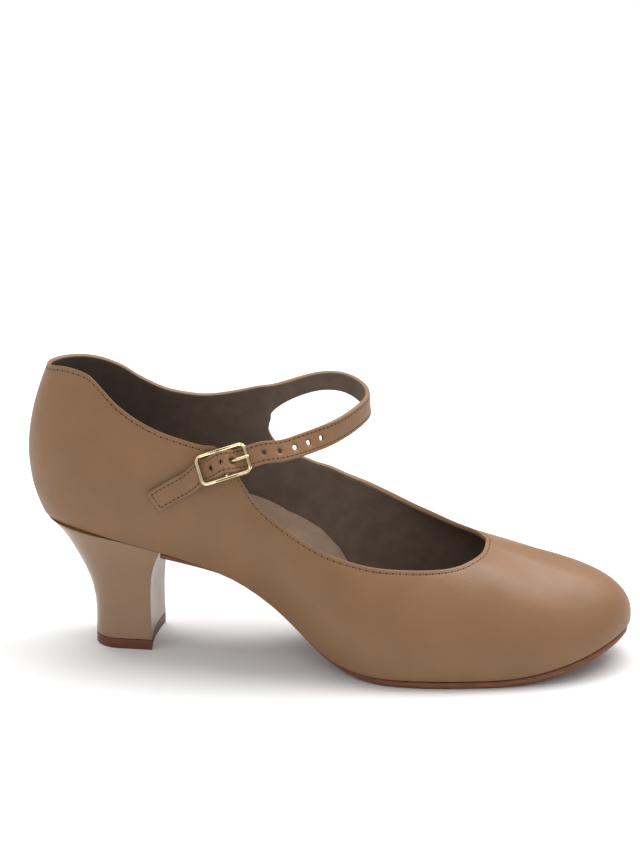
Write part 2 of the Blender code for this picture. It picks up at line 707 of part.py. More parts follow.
def make_insole():
    """The insole inside the upper, from the seat to the toe."""
    inset = WALL + 3.0 * CLEARANCE
    places = np.concatenate((np.linspace(0.25, 1.75, 7), np.linspace(2.0, 12.0, 30), np.linspace(12.3, 13.8, 7)))
    base = WALL + CLEARANCE
    points, faces = plate_inside(places, lambda place: inset, lambda a: feather_height(a, base + INSOLE_THICKNESS),
                                 lambda a: feather_height(a, base), INSOLE_EDGE_ROUND, True)
    obj = new_object("insole", grid_mesh("insole", points, faces))
    smooth(obj, 50.0)
    return obj


def heel_outline(level):
    """Plan of the heel at a level, from the breast's outer corner round the back to the inner one."""
    table = np.array(HEEL_LEVELS)
    back, breast, half, square = (natural_spline(table[:, 0], table[:, k], level) for k in (1, 2, 3, 4))
    back, breast, half = back * LENGTH, breast * LENGTH, half * BALL_WIDTH
    rear = (breast - back) * HEEL_REAR_SHARE
    side = [breast - (breast - back - rear) * k / HEEL_SIDE_STEPS for k in range(HEEL_SIDE_STEPS)]
    outline = [(x, -half) for x in side]
    for t in np.linspace(0.0, math.pi, HEEL_REAR_STEPS):
        forward, across = abs(math.sin(t)), math.cos(t)
        outline.append((back + rear * (1.0 - forward ** (2.0 / square)),
                        -half * math.copysign(abs(across) ** (2.0 / square), across)))
    outline += [(x, half) for x in reversed(side)]
    return outline + [(breast - BREAST_HOLLOW * (1.0 - s * s), half * s) for s in (0.55, 0.0, -0.55)]


def heel_ring(level, bottom):
    """Points of the heel's surface at a level."""
    outline = heel_outline(level)
    tops = feather_height([along for along, _ in outline], -CLEARANCE)
    return [(along, across, bottom + (top - bottom) * level) for (along, across), top in zip(outline, tops)]


def stacked_rings(rings):
    """Points and faces of a solid through rings of the same length, closed at both ends."""
    size = len(rings[0])
    points = [p for ring in rings for p in ring]
    faces = [tuple(range(size)), tuple(range((len(rings) - 1) * size, len(rings) * size))]
    for k in range(len(rings) - 1):
        a, b = k * size, (k + 1) * size
        faces += [(a + j, a + (j + 1) % size, b + (j + 1) % size, b + j) for j in range(size)]
    return points, faces


def make_heel():
    """The covered heel between the seat and its top piece."""
    bottom = TOP_PIECE_THICKNESS + CLEARANCE
    levels = (0.0, 0.1, 0.2, 0.31, 0.42, 0.51, 0.6, 0.68, 0.75, 0.83, 0.9, 0.95, 1.0)
    rings = [heel_ring(level, bottom) for level in levels]
    points, faces = stacked_rings(rings)
    size = len(rings[0])
    last = (len(levels) - 1) * size
    pairs = [(last + j, last + size - 4 - j) for j in range((size - 3) // 2)]
    faces[1] = (pairs[0][0], pairs[1][0], pairs[1][1], pairs[0][1]) + tuple(last + size - 3 + j for j in range(3))
    faces += [(a, c, d, b) for (a, b), (c, d) in zip(pairs[1:], pairs[2:])]
    obj = new_object("heel", grid_mesh("heel", points, faces))
    smooth(obj, 50.0)
    return obj


def make_top_piece():
    """The flat piece that the heel stands on."""
    outline = heel_outline(0.0)
    rings = [[(x, y, z) for x, y in outline] for z in (0.0, TOP_PIECE_THICKNESS)]
    obj = new_object("top_piece", grid_mesh("top_piece", *stacked_rings(rings)))
    smooth(obj, 50.0)
    return obj


def buckle_width():
    """Outer width of the buckle's frame: the strap, a clearance each side and two bars."""
    return STRAP_WIDTH + 2.0 * (CLEARANCE + BUCKLE_BAR)


def rounded_rectangle(low, high, half_width, radius, grow):
    """Outline of a rectangle with round corners between two places along the strap, grown all round."""
    middle, reach = (low + high) / 2.0, (high - low) / 2.0 - radius
    outline = []
    for quarter, (x, y) in enumerate(((1.0, 1.0), (-1.0, 1.0), (-1.0, -1.0), (1.0, -1.0))):
        for angle in np.radians(np.linspace(90.0 * quarter, 90.0 * quarter + 90.0, BUCKLE_CORNER_STEPS + 1)):
            outline.append((middle + x * reach + (radius + grow) * math.cos(angle),
                            y * (half_width - radius) + (radius + grow) * math.sin(angle)))
    return outline


def make_buckle_frame():
    """The frame with its centre bar: one plate with two windows and rounded edges."""
    half = BUCKLE_LENGTH / 2.0
    wide = STRAP_WIDTH / 2.0 + CLEARANCE + BUCKLE_BAR
    thick = BUCKLE_THICKNESS / 2.0
    bevel = BUCKLE_EDGE_ROUND
    inner = BUCKLE_CORNER - BUCKLE_BAR
    shapes = ((-half, half, wide, BUCKLE_CORNER, -bevel),
              (CENTRE_BAR / 2.0, half - BUCKLE_BAR, wide - BUCKLE_BAR, inner, bevel),
              (BUCKLE_BAR - half, -CENTRE_BAR / 2.0, wide - BUCKLE_BAR, inner, bevel))
    work = bmesh.new()
    rims = ([], [])
    for low, high, half_width, radius, grow in shapes:
        rings = []
        for lift, change in ((-thick, grow), (bevel - thick, 0.0), (thick - bevel, 0.0), (thick, grow)):
            outline = rounded_rectangle(low, high, half_width, radius, change)
            rings.append([work.verts.new(Vector(buckle_point(x, y, lift)) - Vector((heel_rest_along(), 0.0, 0.0)))
                          for x, y in outline])
        size = len(rings[0])
        for a, b in zip(rings, rings[1:]):
            for j in range(size):
                work.faces.new((a[j], a[(j + 1) % size], b[(j + 1) % size], b[j]))
        for rim, ring in zip(rims, (rings[0], rings[-1])):
            rim += [work.edges.get((ring[j], ring[(j + 1) % size])) for j in range(size)]
    for rim in rims:
        bmesh.ops.triangle_fill(work, use_beauty=True, edges=rim)
    bmesh.ops.recalc_face_normals(work, faces=work.faces)
    mesh = bpy.data.meshes.new("buckle_frame")
    work.to_mesh(mesh)
    work.free()
    obj = new_object("buckle_frame", mesh)
    smooth(obj, 50.0)
    return obj


def make_buckle_prong():
    """The prong round the centre bar, through the strap's hole and onto the front bar."""
    radius = PRONG_DIAMETER / 2.0
    ring = BUCKLE_THICKNESS / 2.0 + CLEARANCE + radius
    crest = strap_lift(0.0) + radius
    half = BUCKLE_LENGTH / 2.0
    path = [(ring * math.cos(a), ring * math.sin(a)) for a in np.radians(np.linspace(-40.0, -258.0, 12))]
    rise = crest - ring
    path += [(0.01 * half, ring + 0.20 * rise), (0.024 * half, ring + 0.42 * rise),
             (0.05 * half, ring + 0.70 * rise), (0.095 * half, ring + 0.95 * rise),
             (0.17 * half, crest + 0.3 * radius), (0.28 * half, crest - 0.2 * radius),
             (0.84 * half, ring), (0.93 * half, ring), (0.98 * half, ring - radius / 3.0)]
    points = []
    for i, (along, lift) in enumerate(path):
        before, after = path[max(i - 1, 0)], path[min(i + 1, len(path) - 1)]
        across = unit((before[1] - after[1], after[0] - before[0]))
        share = 0.75 if i == len(path) - 1 else 1.0
        for angle in np.linspace(0.0, 2.0 * math.pi, PRONG_SIDES, endpoint=False):
            side, out = radius * share * math.cos(angle), radius * share * math.sin(angle)
            points.append(buckle_point(along + across[0] * out, side, lift + across[1] * out))
    rings = [points[k:k + PRONG_SIDES] for k in range(0, len(points), PRONG_SIDES)]
    obj = new_object("buckle_prong", grid_mesh("buckle_prong", *stacked_rings(rings)))
    smooth(obj, 50.0)
    return obj


def lift_of_wall(along, across):
    """Height of the upper's outer face over the buckle's middle plane, below a place on it."""
    out = buckle_axes()[2]
    start = buckle_point(along, across, 0.0)
    place, height, drop = 4.9, 0.7, 0.004
    for _ in range(12):
        point = wall_points([place], [height])[0, 0]
        small = 1e-3
        round_way = (wall_points([place + small], [height])[0, 0] - point) / small
        up_way = (wall_points([place], [height + small])[0, 0] - point) / small
        miss = point - (start - out * drop)
        change = np.linalg.solve(np.column_stack((round_way, up_way, out)), -miss)
        place, height, drop = place + change[0], height + change[1], drop + change[2]
    return -drop


def make_buckle_chape():
    """The leather loop round the centre bar, slotted for the prong, with its leg on the quarter."""
    middle = CHAPE_THICKNESS / 2.0
    ring = BUCKLE_THICKNESS / 2.0 + CLEARANCE + middle
    half = BUCKLE_LENGTH / 2.0
    loop = [(ring * math.cos(a), ring * math.sin(a)) for a in np.radians(np.linspace(-75.0, 195.0, 14))]
    leg = ((-0.21, 0.45), (-0.29, 0.85), (-0.38, 1.0), (-0.46, 1.0))
    slot = PRONG_DIAMETER / 2.0 + CLEARANCE
    sides = (-CHAPE_WIDTH / 2.0, -CHAPE_WIDTH / 4.0 - slot / 2.0, -slot, slot,
             CHAPE_WIDTH / 4.0 + slot / 2.0, CHAPE_WIDTH / 2.0)
    points = []
    for along, lift in loop:
        points += [buckle_point(along, side, lift) for side in sides]
    for share, down in leg:
        for side in sides:
            along = share * half
            rest = lift_of_wall(along, side) + CLEARANCE + middle
            points.append(buckle_point(along, side, loop[-1][1] + (rest - loop[-1][1]) * down))
    width = len(sides)
    faces = []
    for i in range(len(loop) + len(leg) - 1):
        for j in range(width - 1):
            slotted = j == 2 and i < len(loop)
            if not slotted:
                a = i * width + j
                faces.append((a, a + 1, a + width + 1, a + width))
    obj = new_object("buckle_chape", grid_mesh("buckle_chape", points, faces))
    wall = obj.modifiers.new("thickness", "SOLIDIFY")
    wall.thickness = CHAPE_THICKNESS
    wall.offset = 0.0
    wall.use_even_offset = True
    smooth(obj, 50.0)
    return obj


def clear_scene():
    """Remove every object that the scene starts with."""
    for obj in list(bpy.data.objects):
        bpy.data.objects.remove(obj, do_unlink=True)


def main():
    """Make the shoe's pieces."""
    clear_scene()
    make_upper()
    make_outsole()
    make_insole()
    make_heel()
    make_top_piece()
    make_buckle_frame()
    make_buckle_prong()
    make_buckle_chape()


main()
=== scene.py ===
"""The character shoe's looks: leather, linings, stitches, buckle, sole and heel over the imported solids."""
from __future__ import annotations

import json
import logging
import math
from collections.abc import Sequence
from dataclasses import dataclass, field
from enum import Enum

import bpy
import numpy as np
from mathutils import Matrix, Vector

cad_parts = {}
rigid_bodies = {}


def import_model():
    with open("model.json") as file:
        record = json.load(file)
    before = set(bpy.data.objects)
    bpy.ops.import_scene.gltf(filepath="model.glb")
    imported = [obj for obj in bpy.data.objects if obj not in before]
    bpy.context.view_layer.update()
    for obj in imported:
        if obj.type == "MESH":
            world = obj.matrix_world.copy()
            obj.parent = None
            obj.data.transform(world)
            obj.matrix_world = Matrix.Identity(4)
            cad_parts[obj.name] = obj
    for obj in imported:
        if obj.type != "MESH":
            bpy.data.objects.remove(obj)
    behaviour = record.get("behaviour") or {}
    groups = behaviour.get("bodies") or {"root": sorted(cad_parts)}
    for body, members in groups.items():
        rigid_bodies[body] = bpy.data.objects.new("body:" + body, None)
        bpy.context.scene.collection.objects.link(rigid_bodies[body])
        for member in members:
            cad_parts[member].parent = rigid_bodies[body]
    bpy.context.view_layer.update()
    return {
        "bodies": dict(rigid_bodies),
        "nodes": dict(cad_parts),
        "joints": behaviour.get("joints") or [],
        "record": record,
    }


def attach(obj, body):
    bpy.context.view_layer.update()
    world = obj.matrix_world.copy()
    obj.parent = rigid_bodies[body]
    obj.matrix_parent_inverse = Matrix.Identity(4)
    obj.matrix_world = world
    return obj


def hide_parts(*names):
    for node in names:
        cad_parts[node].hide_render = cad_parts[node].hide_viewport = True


LOG = logging.getLogger("shoe")
WELD_GAP = 1e-7
LEATHER_ANGLE = 60.0
METAL_ANGLE = 50.0

# Row, column, radius and lengthwise stretch of a hole in a sheet
Hole = tuple[int, int, float, float]
Colour = tuple[float, float, float]

SECTION_COUNT = 28
BUCKLE_ANGLES = (11.8, 17.2, 26.0)

# Stations of the strap's holes, counted from where its bow crosses the buckle's middle
HOLE_STEPS = (7, 1, -4, -17, -23, -29, -35, -41)
PRONG_STEP = -4

# The prong between the centre bar and the front bar: share of the buckle's half length, lift
PRONG_PATH = (
    (0.10, 0.00108),
    (0.16, 0.00080),
    (0.22, 0.00070),
    (0.30, 0.00078),
    (0.38, 0.00102),
    (0.47, 0.00130),
    (0.58, 0.00146),
)

# The prong's tip over the front bar: share of the buckle's half length, dip as a share of its radius
PRONG_TIP = ((0.84, 0.0), (0.93, 0.0), (0.985, 1.0 / 3.0))

# Cross-section of the buckle's rim from its outer edge: share of the bar's width, share of
# half its thickness
RIM_PROFILE = (
    (0.00, -0.60),
    (0.06, 0.10),
    (0.16, 0.72),
    (0.30, 1.00),
    (0.44, 0.72),
    (0.54, 0.66),
    (0.64, 0.86),
    (0.78, 1.00),
    (0.92, 0.60),
    (1.00, -0.10),
    (1.00, -0.60),
    (0.85, -1.00),
    (0.15, -1.00),
)

# Top edge of the sock lining on the inner side of the arch: place on the ring, height share
SOCK_EDGE = (
    (20.62, 0.100),
    (20.85, 0.220),
    (21.05, 0.295),
    (21.35, 0.315),
    (21.70, 0.285),
    (22.00, 0.255),
    (22.80, 0.245),
    (24.50, 0.200),
    (26.00, 0.150),
    (27.00, 0.110),
)

# Light panels: name, place, size in metres, watts
PANELS = (
    ("left_panel", (-0.70, -0.55, 0.60), 0.35, 1.3),
    ("right_panel", (0.95, -0.45, 0.45), 0.30, 0.5),
    ("front_panel", (0.25, -1.3, 1.1), 0.40, 2.0),
    ("toe_panel", (0.58, 0.34, 1.00), 0.75, 9.0),
)

# Soft wear creases: place, height share, lean in degrees, length and width in millimetres along
# the wall, depth in metres
CREASES = (
    (8.10, 0.66, 62.0, 11.0, 2.2, 0.00022),
    (8.85, 0.60, 55.0, 13.0, 2.6, 0.00026),
    (9.60, 0.58, 48.0, 11.0, 2.4, 0.00018),
    (19.30, 0.62, -58.0, 12.0, 2.4, 0.00024),
    (20.10, 0.60, -62.0, 12.0, 2.6, 0.00022),
    (4.60, 0.30, 20.0, 12.0, 2.6, 0.00020),
    (3.70, 0.24, 12.0, 11.0, 2.4, 0.00016),
    (2.45, 0.80, 35.0, 9.0, 3.0, 0.00028),
    (1.90, 0.62, 24.0, 9.0, 2.6, 0.00016),
    (-3.80, 0.34, -18.0, 11.0, 2.6, 0.00018),
    (0.40, 0.30, 4.0, 12.0, 3.0, 0.00014),
)

# Feather line from the back to the toe: place along the shoe as a share of the length, rise as a
# share of the seat's rise above the tread, and spring as a share of the toe spring
FEATHER = (
    # along, rise, spring
    (0.00, 1.005, 0.00),
    (0.06, 1.000, 0.00),
    (0.10, 0.980, 0.00),
    (0.15, 0.944, 0.00),
    (0.19, 0.905, 0.00),
    (0.23, 0.856, 0.00),
    (0.27, 0.799, 0.00),
    (0.31, 0.733, 0.00),
    (0.36, 0.629, 0.00),
    (0.40, 0.514, 0.00),
    (0.44, 0.375, 0.00),
    (0.48, 0.220, 0.00),
    (0.52, 0.092, 0.00),
    (0.56, 0.028, 0.00),
    (0.60, 0.004, 0.00),
    (0.65, 0.000, 0.00),
    (0.77, 0.000, 0.00),
    (0.82, 0.000, 0.03),
    (0.86, 0.000, 0.14),
    (0.90, 0.000, 0.32),
    (0.94, 0.000, 0.56),
    (0.97, 0.000, 0.79),
    (1.00, 0.000, 1.00),
)

# Sections in order round the foot. Lengths along are shares of length, lengths across, swell and
# lean are shares of ball_width, and heights are shares of upper_depth above the feather line.
# swell and swell_up bend the wall outwards at its foot, lean and lean_down bend it at its rim,
# and cut is the share of the wall's height at which the topline runs.
SECTIONS = (
    # name, foot along, foot across, rim along, rim across, rim up, swell, swell_up, lean, lean_down, cut
    ("back", 0.027, 0.000, 0.042, 0.000, 1.00, 0.135, 0.31, 0.122, 0.34, 0.962),
    ("outer back", 0.042, -0.126, 0.054, -0.110, 1.00, 0.103, 0.31, 0.096, 0.34, 0.981),
    ("outer seat", 0.083, -0.237, 0.100, -0.192, 1.01, 0.090, 0.31, 0.090, 0.34, 0.989),
    ("outer quarter", 0.150, -0.305, 0.171, -0.267, 0.96, 0.077, 0.31, 0.077, 0.34, 0.900),
    ("outer breast", 0.237, -0.321, 0.254, -0.318, 0.90, 0.077, 0.31, 0.077, 0.28, 0.863),
    ("outer waist", 0.333, -0.301, 0.333, -0.300, 0.94, 0.115, 0.34, 0.100, 0.25, 0.863),
    ("outer shank", 0.417, -0.321, 0.417, -0.326, 0.84, 0.128, 0.34, 0.090, 0.20, 0.699),
    ("outer joint", 0.508, -0.429, 0.496, -0.365, 0.89, 0.115, 0.31, 0.109, 0.19, 0.732),
    ("outer ball", 0.604, -0.532, 0.567, -0.346, 0.82, 0.064, 0.28, 0.141, 0.16, 0.779),
    ("outer tread", 0.688, -0.535, 0.625, -0.295, 0.76, 0.051, 0.27, 0.179, 0.12, 0.787),
    ("outer vamp", 0.771, -0.494, 0.675, -0.224, 0.73, 0.051, 0.25, 0.231, 0.11, 0.806),
    ("outer toe", 0.856, -0.423, 0.706, -0.141, 0.69, 0.051, 0.25, 0.308, 0.11, 0.852),
    ("outer toe corner", 0.942, -0.276, 0.721, -0.071, 0.59, 0.051, 0.27, 0.397, 0.12, 0.902),
    ("outer tip", 0.985, -0.109, 0.725, -0.013, 0.53, 0.051, 0.30, 0.462, 0.12, 0.922),
    ("tip", 0.998, 0.051, 0.727, 0.032, 0.52, 0.051, 0.30, 0.487, 0.12, 0.933),
    ("inner tip", 0.985, 0.199, 0.725, 0.077, 0.53, 0.051, 0.29, 0.462, 0.12, 0.935),
    ("inner toe corner", 0.946, 0.333, 0.723, 0.122, 0.58, 0.051, 0.27, 0.385, 0.12, 0.936),
    ("inner toe", 0.867, 0.429, 0.706, 0.192, 0.67, 0.051, 0.24, 0.250, 0.12, 0.922),
    ("inner vamp", 0.779, 0.468, 0.669, 0.269, 0.74, 0.051, 0.24, 0.167, 0.13, 0.905),
    ("inner tread", 0.700, 0.455, 0.621, 0.318, 0.81, 0.051, 0.27, 0.141, 0.14, 0.891),
    ("inner ball", 0.617, 0.397, 0.567, 0.340, 0.93, 0.077, 0.30, 0.115, 0.17, 0.860),
    ("inner joint", 0.517, 0.276, 0.496, 0.327, 1.11, 0.128, 0.36, 0.103, 0.22, 0.740),
    ("inner shank", 0.421, 0.203, 0.421, 0.288, 1.21, 0.192, 0.44, 0.103, 0.28, 0.552),
    ("inner waist", 0.333, 0.224, 0.333, 0.308, 1.05, 0.154, 0.38, 0.077, 0.28, 0.873),
    ("inner breast", 0.237, 0.295, 0.254, 0.318, 0.90, 0.090, 0.31, 0.077, 0.28, 0.864),
    ("inner quarter", 0.150, 0.303, 0.171, 0.267, 0.96, 0.077, 0.31, 0.077, 0.34, 0.874),
    ("inner seat", 0.083, 0.237, 0.100, 0.192, 1.01, 0.090, 0.31, 0.090, 0.34, 0.937),
    ("inner back", 0.042, 0.126, 0.054, 0.110, 1.00, 0.103, 0.31, 0.096, 0.34, 0.956),
)

# The strap grows out of the inner side at this place, counted in sections from the back: the
# ring of sections runs from there round the back, the outer side and the toe to the same place
ROOT_PLACE = -5.52
ROOT_CUT = 0.904
ROOT_FRONT_CUT = 0.651
CORNER_PLACE = 5.56
CORNER_CUT = 0.763

# Turns of the topline between two sections
TOPLINE_TURNS = (
    # place, cut
    (ROOT_PLACE, ROOT_CUT),
    (-5.25, 0.884),
    (-3.50, 0.850),
    (-2.70, 0.905),
    (1.50, 0.991),
    (2.25, 0.985),
    (2.60, 0.947),
    (3.40, 0.877),
    (4.70, 0.832),
    (CORNER_PLACE, CORNER_CUT),
    (5.75, 0.713),
    (21.50, 0.625),
    (22.20, 0.548),
    (22.36, 0.578),
    (22.44, 0.616),
    (ROOT_PLACE + SECTION_COUNT, ROOT_FRONT_CUT),
)

# Mesh columns between two places on the ring
COLUMN_SPANS = (
    # from place, to place, columns
    (ROOT_PLACE, -5.0, 3),
    (-5.0, -2.2, 11),
    (-2.2, 1.9, 15),
    (1.9, 3.0, 6),
    (3.0, 4.7, 6),
    (4.7, CORNER_PLACE, 5),
    (CORNER_PLACE, 6.3, 4),
    (6.3, 11.0, 15),
    (11.0, 16.6, 18),
    (16.6, 21.2, 14),
    (21.2, 22.1, 4),
    (22.1, ROOT_PLACE + SECTION_COUNT, 5),
)

# The strap's centre line between its root and the buckle: shares of length, ball_width and top,
# and the lean of its face from upright, in degrees
STRAP_HOOP = (
    # name, along, across, up, lean
    ("leaves the inner side", 0.405, 0.377, 0.831, 19.0),
    ("inner side", 0.454, 0.405, 0.861, 25.0),
    ("inner bend", 0.508, 0.382, 0.871, 15.0),
    ("front", 0.546, 0.288, 0.855, 4.0),
    ("crest", 0.562, 0.167, 0.839, 4.0),
    ("over the instep", 0.550, 0.032, 0.821, 4.0),
    ("outer bend", 0.515, -0.135, 0.798, 10.0),
    ("outer side", 0.469, -0.278, 0.785, 34.0),
    ("towards the buckle", 0.437, -0.332, 0.774, 38.0),
)

# Middle of the buckle's frame, in shares of length, ball_width and top
BUCKLE_PLACE = (0.348, -0.406, 0.733)

# Stations of the strap through the buckle: shares of half the buckle's length from its middle, and
# how far the strap has sunk and strayed past the rear bar, as shares of its own width
BUCKLE_RUN = (
    # along, sunk, strayed
    (1.44, 0.00, 0.00),
    (1.20, 0.00, 0.00),
    (0.92, 0.00, 0.00),
    (0.80, 0.00, 0.00),
    (0.68, 0.00, 0.00),
    (0.56, 0.00, 0.00),
    (0.44, 0.00, 0.00),
    (0.33, 0.00, 0.00),
    (0.22, 0.00, 0.00),
    (-0.11, 0.00, 0.00),
    (-0.23, 0.00, 0.00),
    (-0.36, 0.00, 0.00),
    (-0.49, 0.00, 0.00),
    (-0.63, 0.00, 0.00),
    (-0.78, 0.00, 0.00),
    (-0.92, 0.01, -0.03),
    (-1.07, 0.05, -0.09),
    (-1.25, 0.13, -0.18),
)

# The strap's tail on the outer quarter: place on the ring and share of the wall's height
TAIL = (
    # place, height share
    (4.43, 0.556),
    (4.24, 0.502),
    (4.05, 0.441),
    (3.88, 0.379),
)


def natural_spline(knots: Sequence[float], values: np.ndarray, at: np.ndarray) -> np.ndarray:
    """Value at each place of the smooth curve through the knots, with unbent ends.

    Args:
        knots: Rising places of the knots.
        values: One value or one row of values for each knot.
        at: Places to read.

    Returns:
        The values there, a row for each place.
    """
    knots, values, at = (np.asarray(x, float) for x in (knots, values, at))
    if values.ndim == 1:
        return natural_spline(knots, values[:, None], at)[..., 0]
    count, step = len(knots), np.diff(knots)
    system, right = np.zeros((count, count)), np.zeros((count, values.shape[1]))
    system[0, 0] = system[-1, -1] = 1.0
    slope = np.diff(values, axis=0) / step[:, None]
    for i in range(1, count - 1):
        system[i, i - 1:i + 2] = step[i - 1], 2.0 * (step[i - 1] + step[i]), step[i]
        right[i] = 6.0 * (slope[i] - slope[i - 1])
    bend = np.linalg.solve(system, right)
    i = np.clip(np.searchsorted(knots, at, side="right") - 1, 0, count - 2)
    offset, width = (at - knots[i])[..., None], step[i][..., None]
    first = slope[i] - width * (2.0 * bend[i] + bend[i + 1]) / 6.0
    return values[i] + first * offset + bend[i] / 2.0 * offset ** 2 \
        + (bend[i + 1] - bend[i]) / (6.0 * width) * offset ** 3


def ring_spline(knots: np.ndarray, values: np.ndarray, at: np.ndarray) -> np.ndarray:
    """Value at each place of a smooth closed curve.

    Args:
        knots: Places of the knots, the last one being the first one again.
        values: A row of values for each knot but the last.
        at: Places to read.

    Returns:
        A row of values for each place.
    """
    count, step = len(values), np.diff(knots)
    system, right = np.zeros((count, count)), np.zeros_like(values)
    for i in range(count):
        before, after = (i - 1) % count, (i + 1) % count
        system[i, before] += step[before]
        system[i, i] += 2.0 * (step[before] + step[i])
        system[i, after] += step[i]
        right[i] = 6.0 * ((values[after] - values[i]) / step[i] - (values[i] - values[before]) / step[before])
    bend = np.linalg.solve(system, right)
    at = np.mod(at, knots[-1])
    i = np.clip(np.searchsorted(knots, at, side="right") - 1, 0, count - 1)
    j = (i + 1) % count
    offset, width = (at - knots[i])[:, None], step[i][:, None]
    first = (values[j] - values[i]) / width - width * (2.0 * bend[i] + bend[j]) / 6.0
    return values[i] + first * offset + bend[i] / 2.0 * offset ** 2 \
        + (bend[j] - bend[i]) / (6.0 * width) * offset ** 3


def steady_curve(knots: Sequence[float], values: Sequence[float], at: np.ndarray) -> np.ndarray:
    """Value at each place of a curve that never swings past two neighbouring knots.

    Args:
        knots: Rising places of the knots.
        values: One value for each knot.
        at: Places to read.

    Returns:
        One value for each place.
    """
    knots, values, at = (np.asarray(x, float) for x in (knots, values, at))
    step = np.diff(knots)
    slope = np.diff(values) / step
    tangent = np.zeros_like(values)
    same_way = slope[:-1] * slope[1:] > 0.0
    tangent[1:-1] = np.where(same_way, 2.0 * slope[:-1] * slope[1:]
                             / np.where(same_way, slope[:-1] + slope[1:], 1.0), 0.0)
    tangent[0], tangent[-1] = slope[0], slope[-1]
    i = np.clip(np.searchsorted(knots, at, side="right") - 1, 0, len(knots) - 2)
    t = (at - knots[i]) / step[i]
    return (values[i] * (1.0 + 2.0 * t) * (1.0 - t) ** 2 + step[i] * tangent[i] * t * (1.0 - t) ** 2
            + values[i + 1] * t * t * (3.0 - 2.0 * t) + step[i] * tangent[i + 1] * t * t * (t - 1.0))


def unit(vectors: np.ndarray) -> np.ndarray:
    """The same directions with a length of one."""
    vectors = np.asarray(vectors, float)
    return vectors / np.linalg.norm(vectors, axis=-1, keepdims=True)


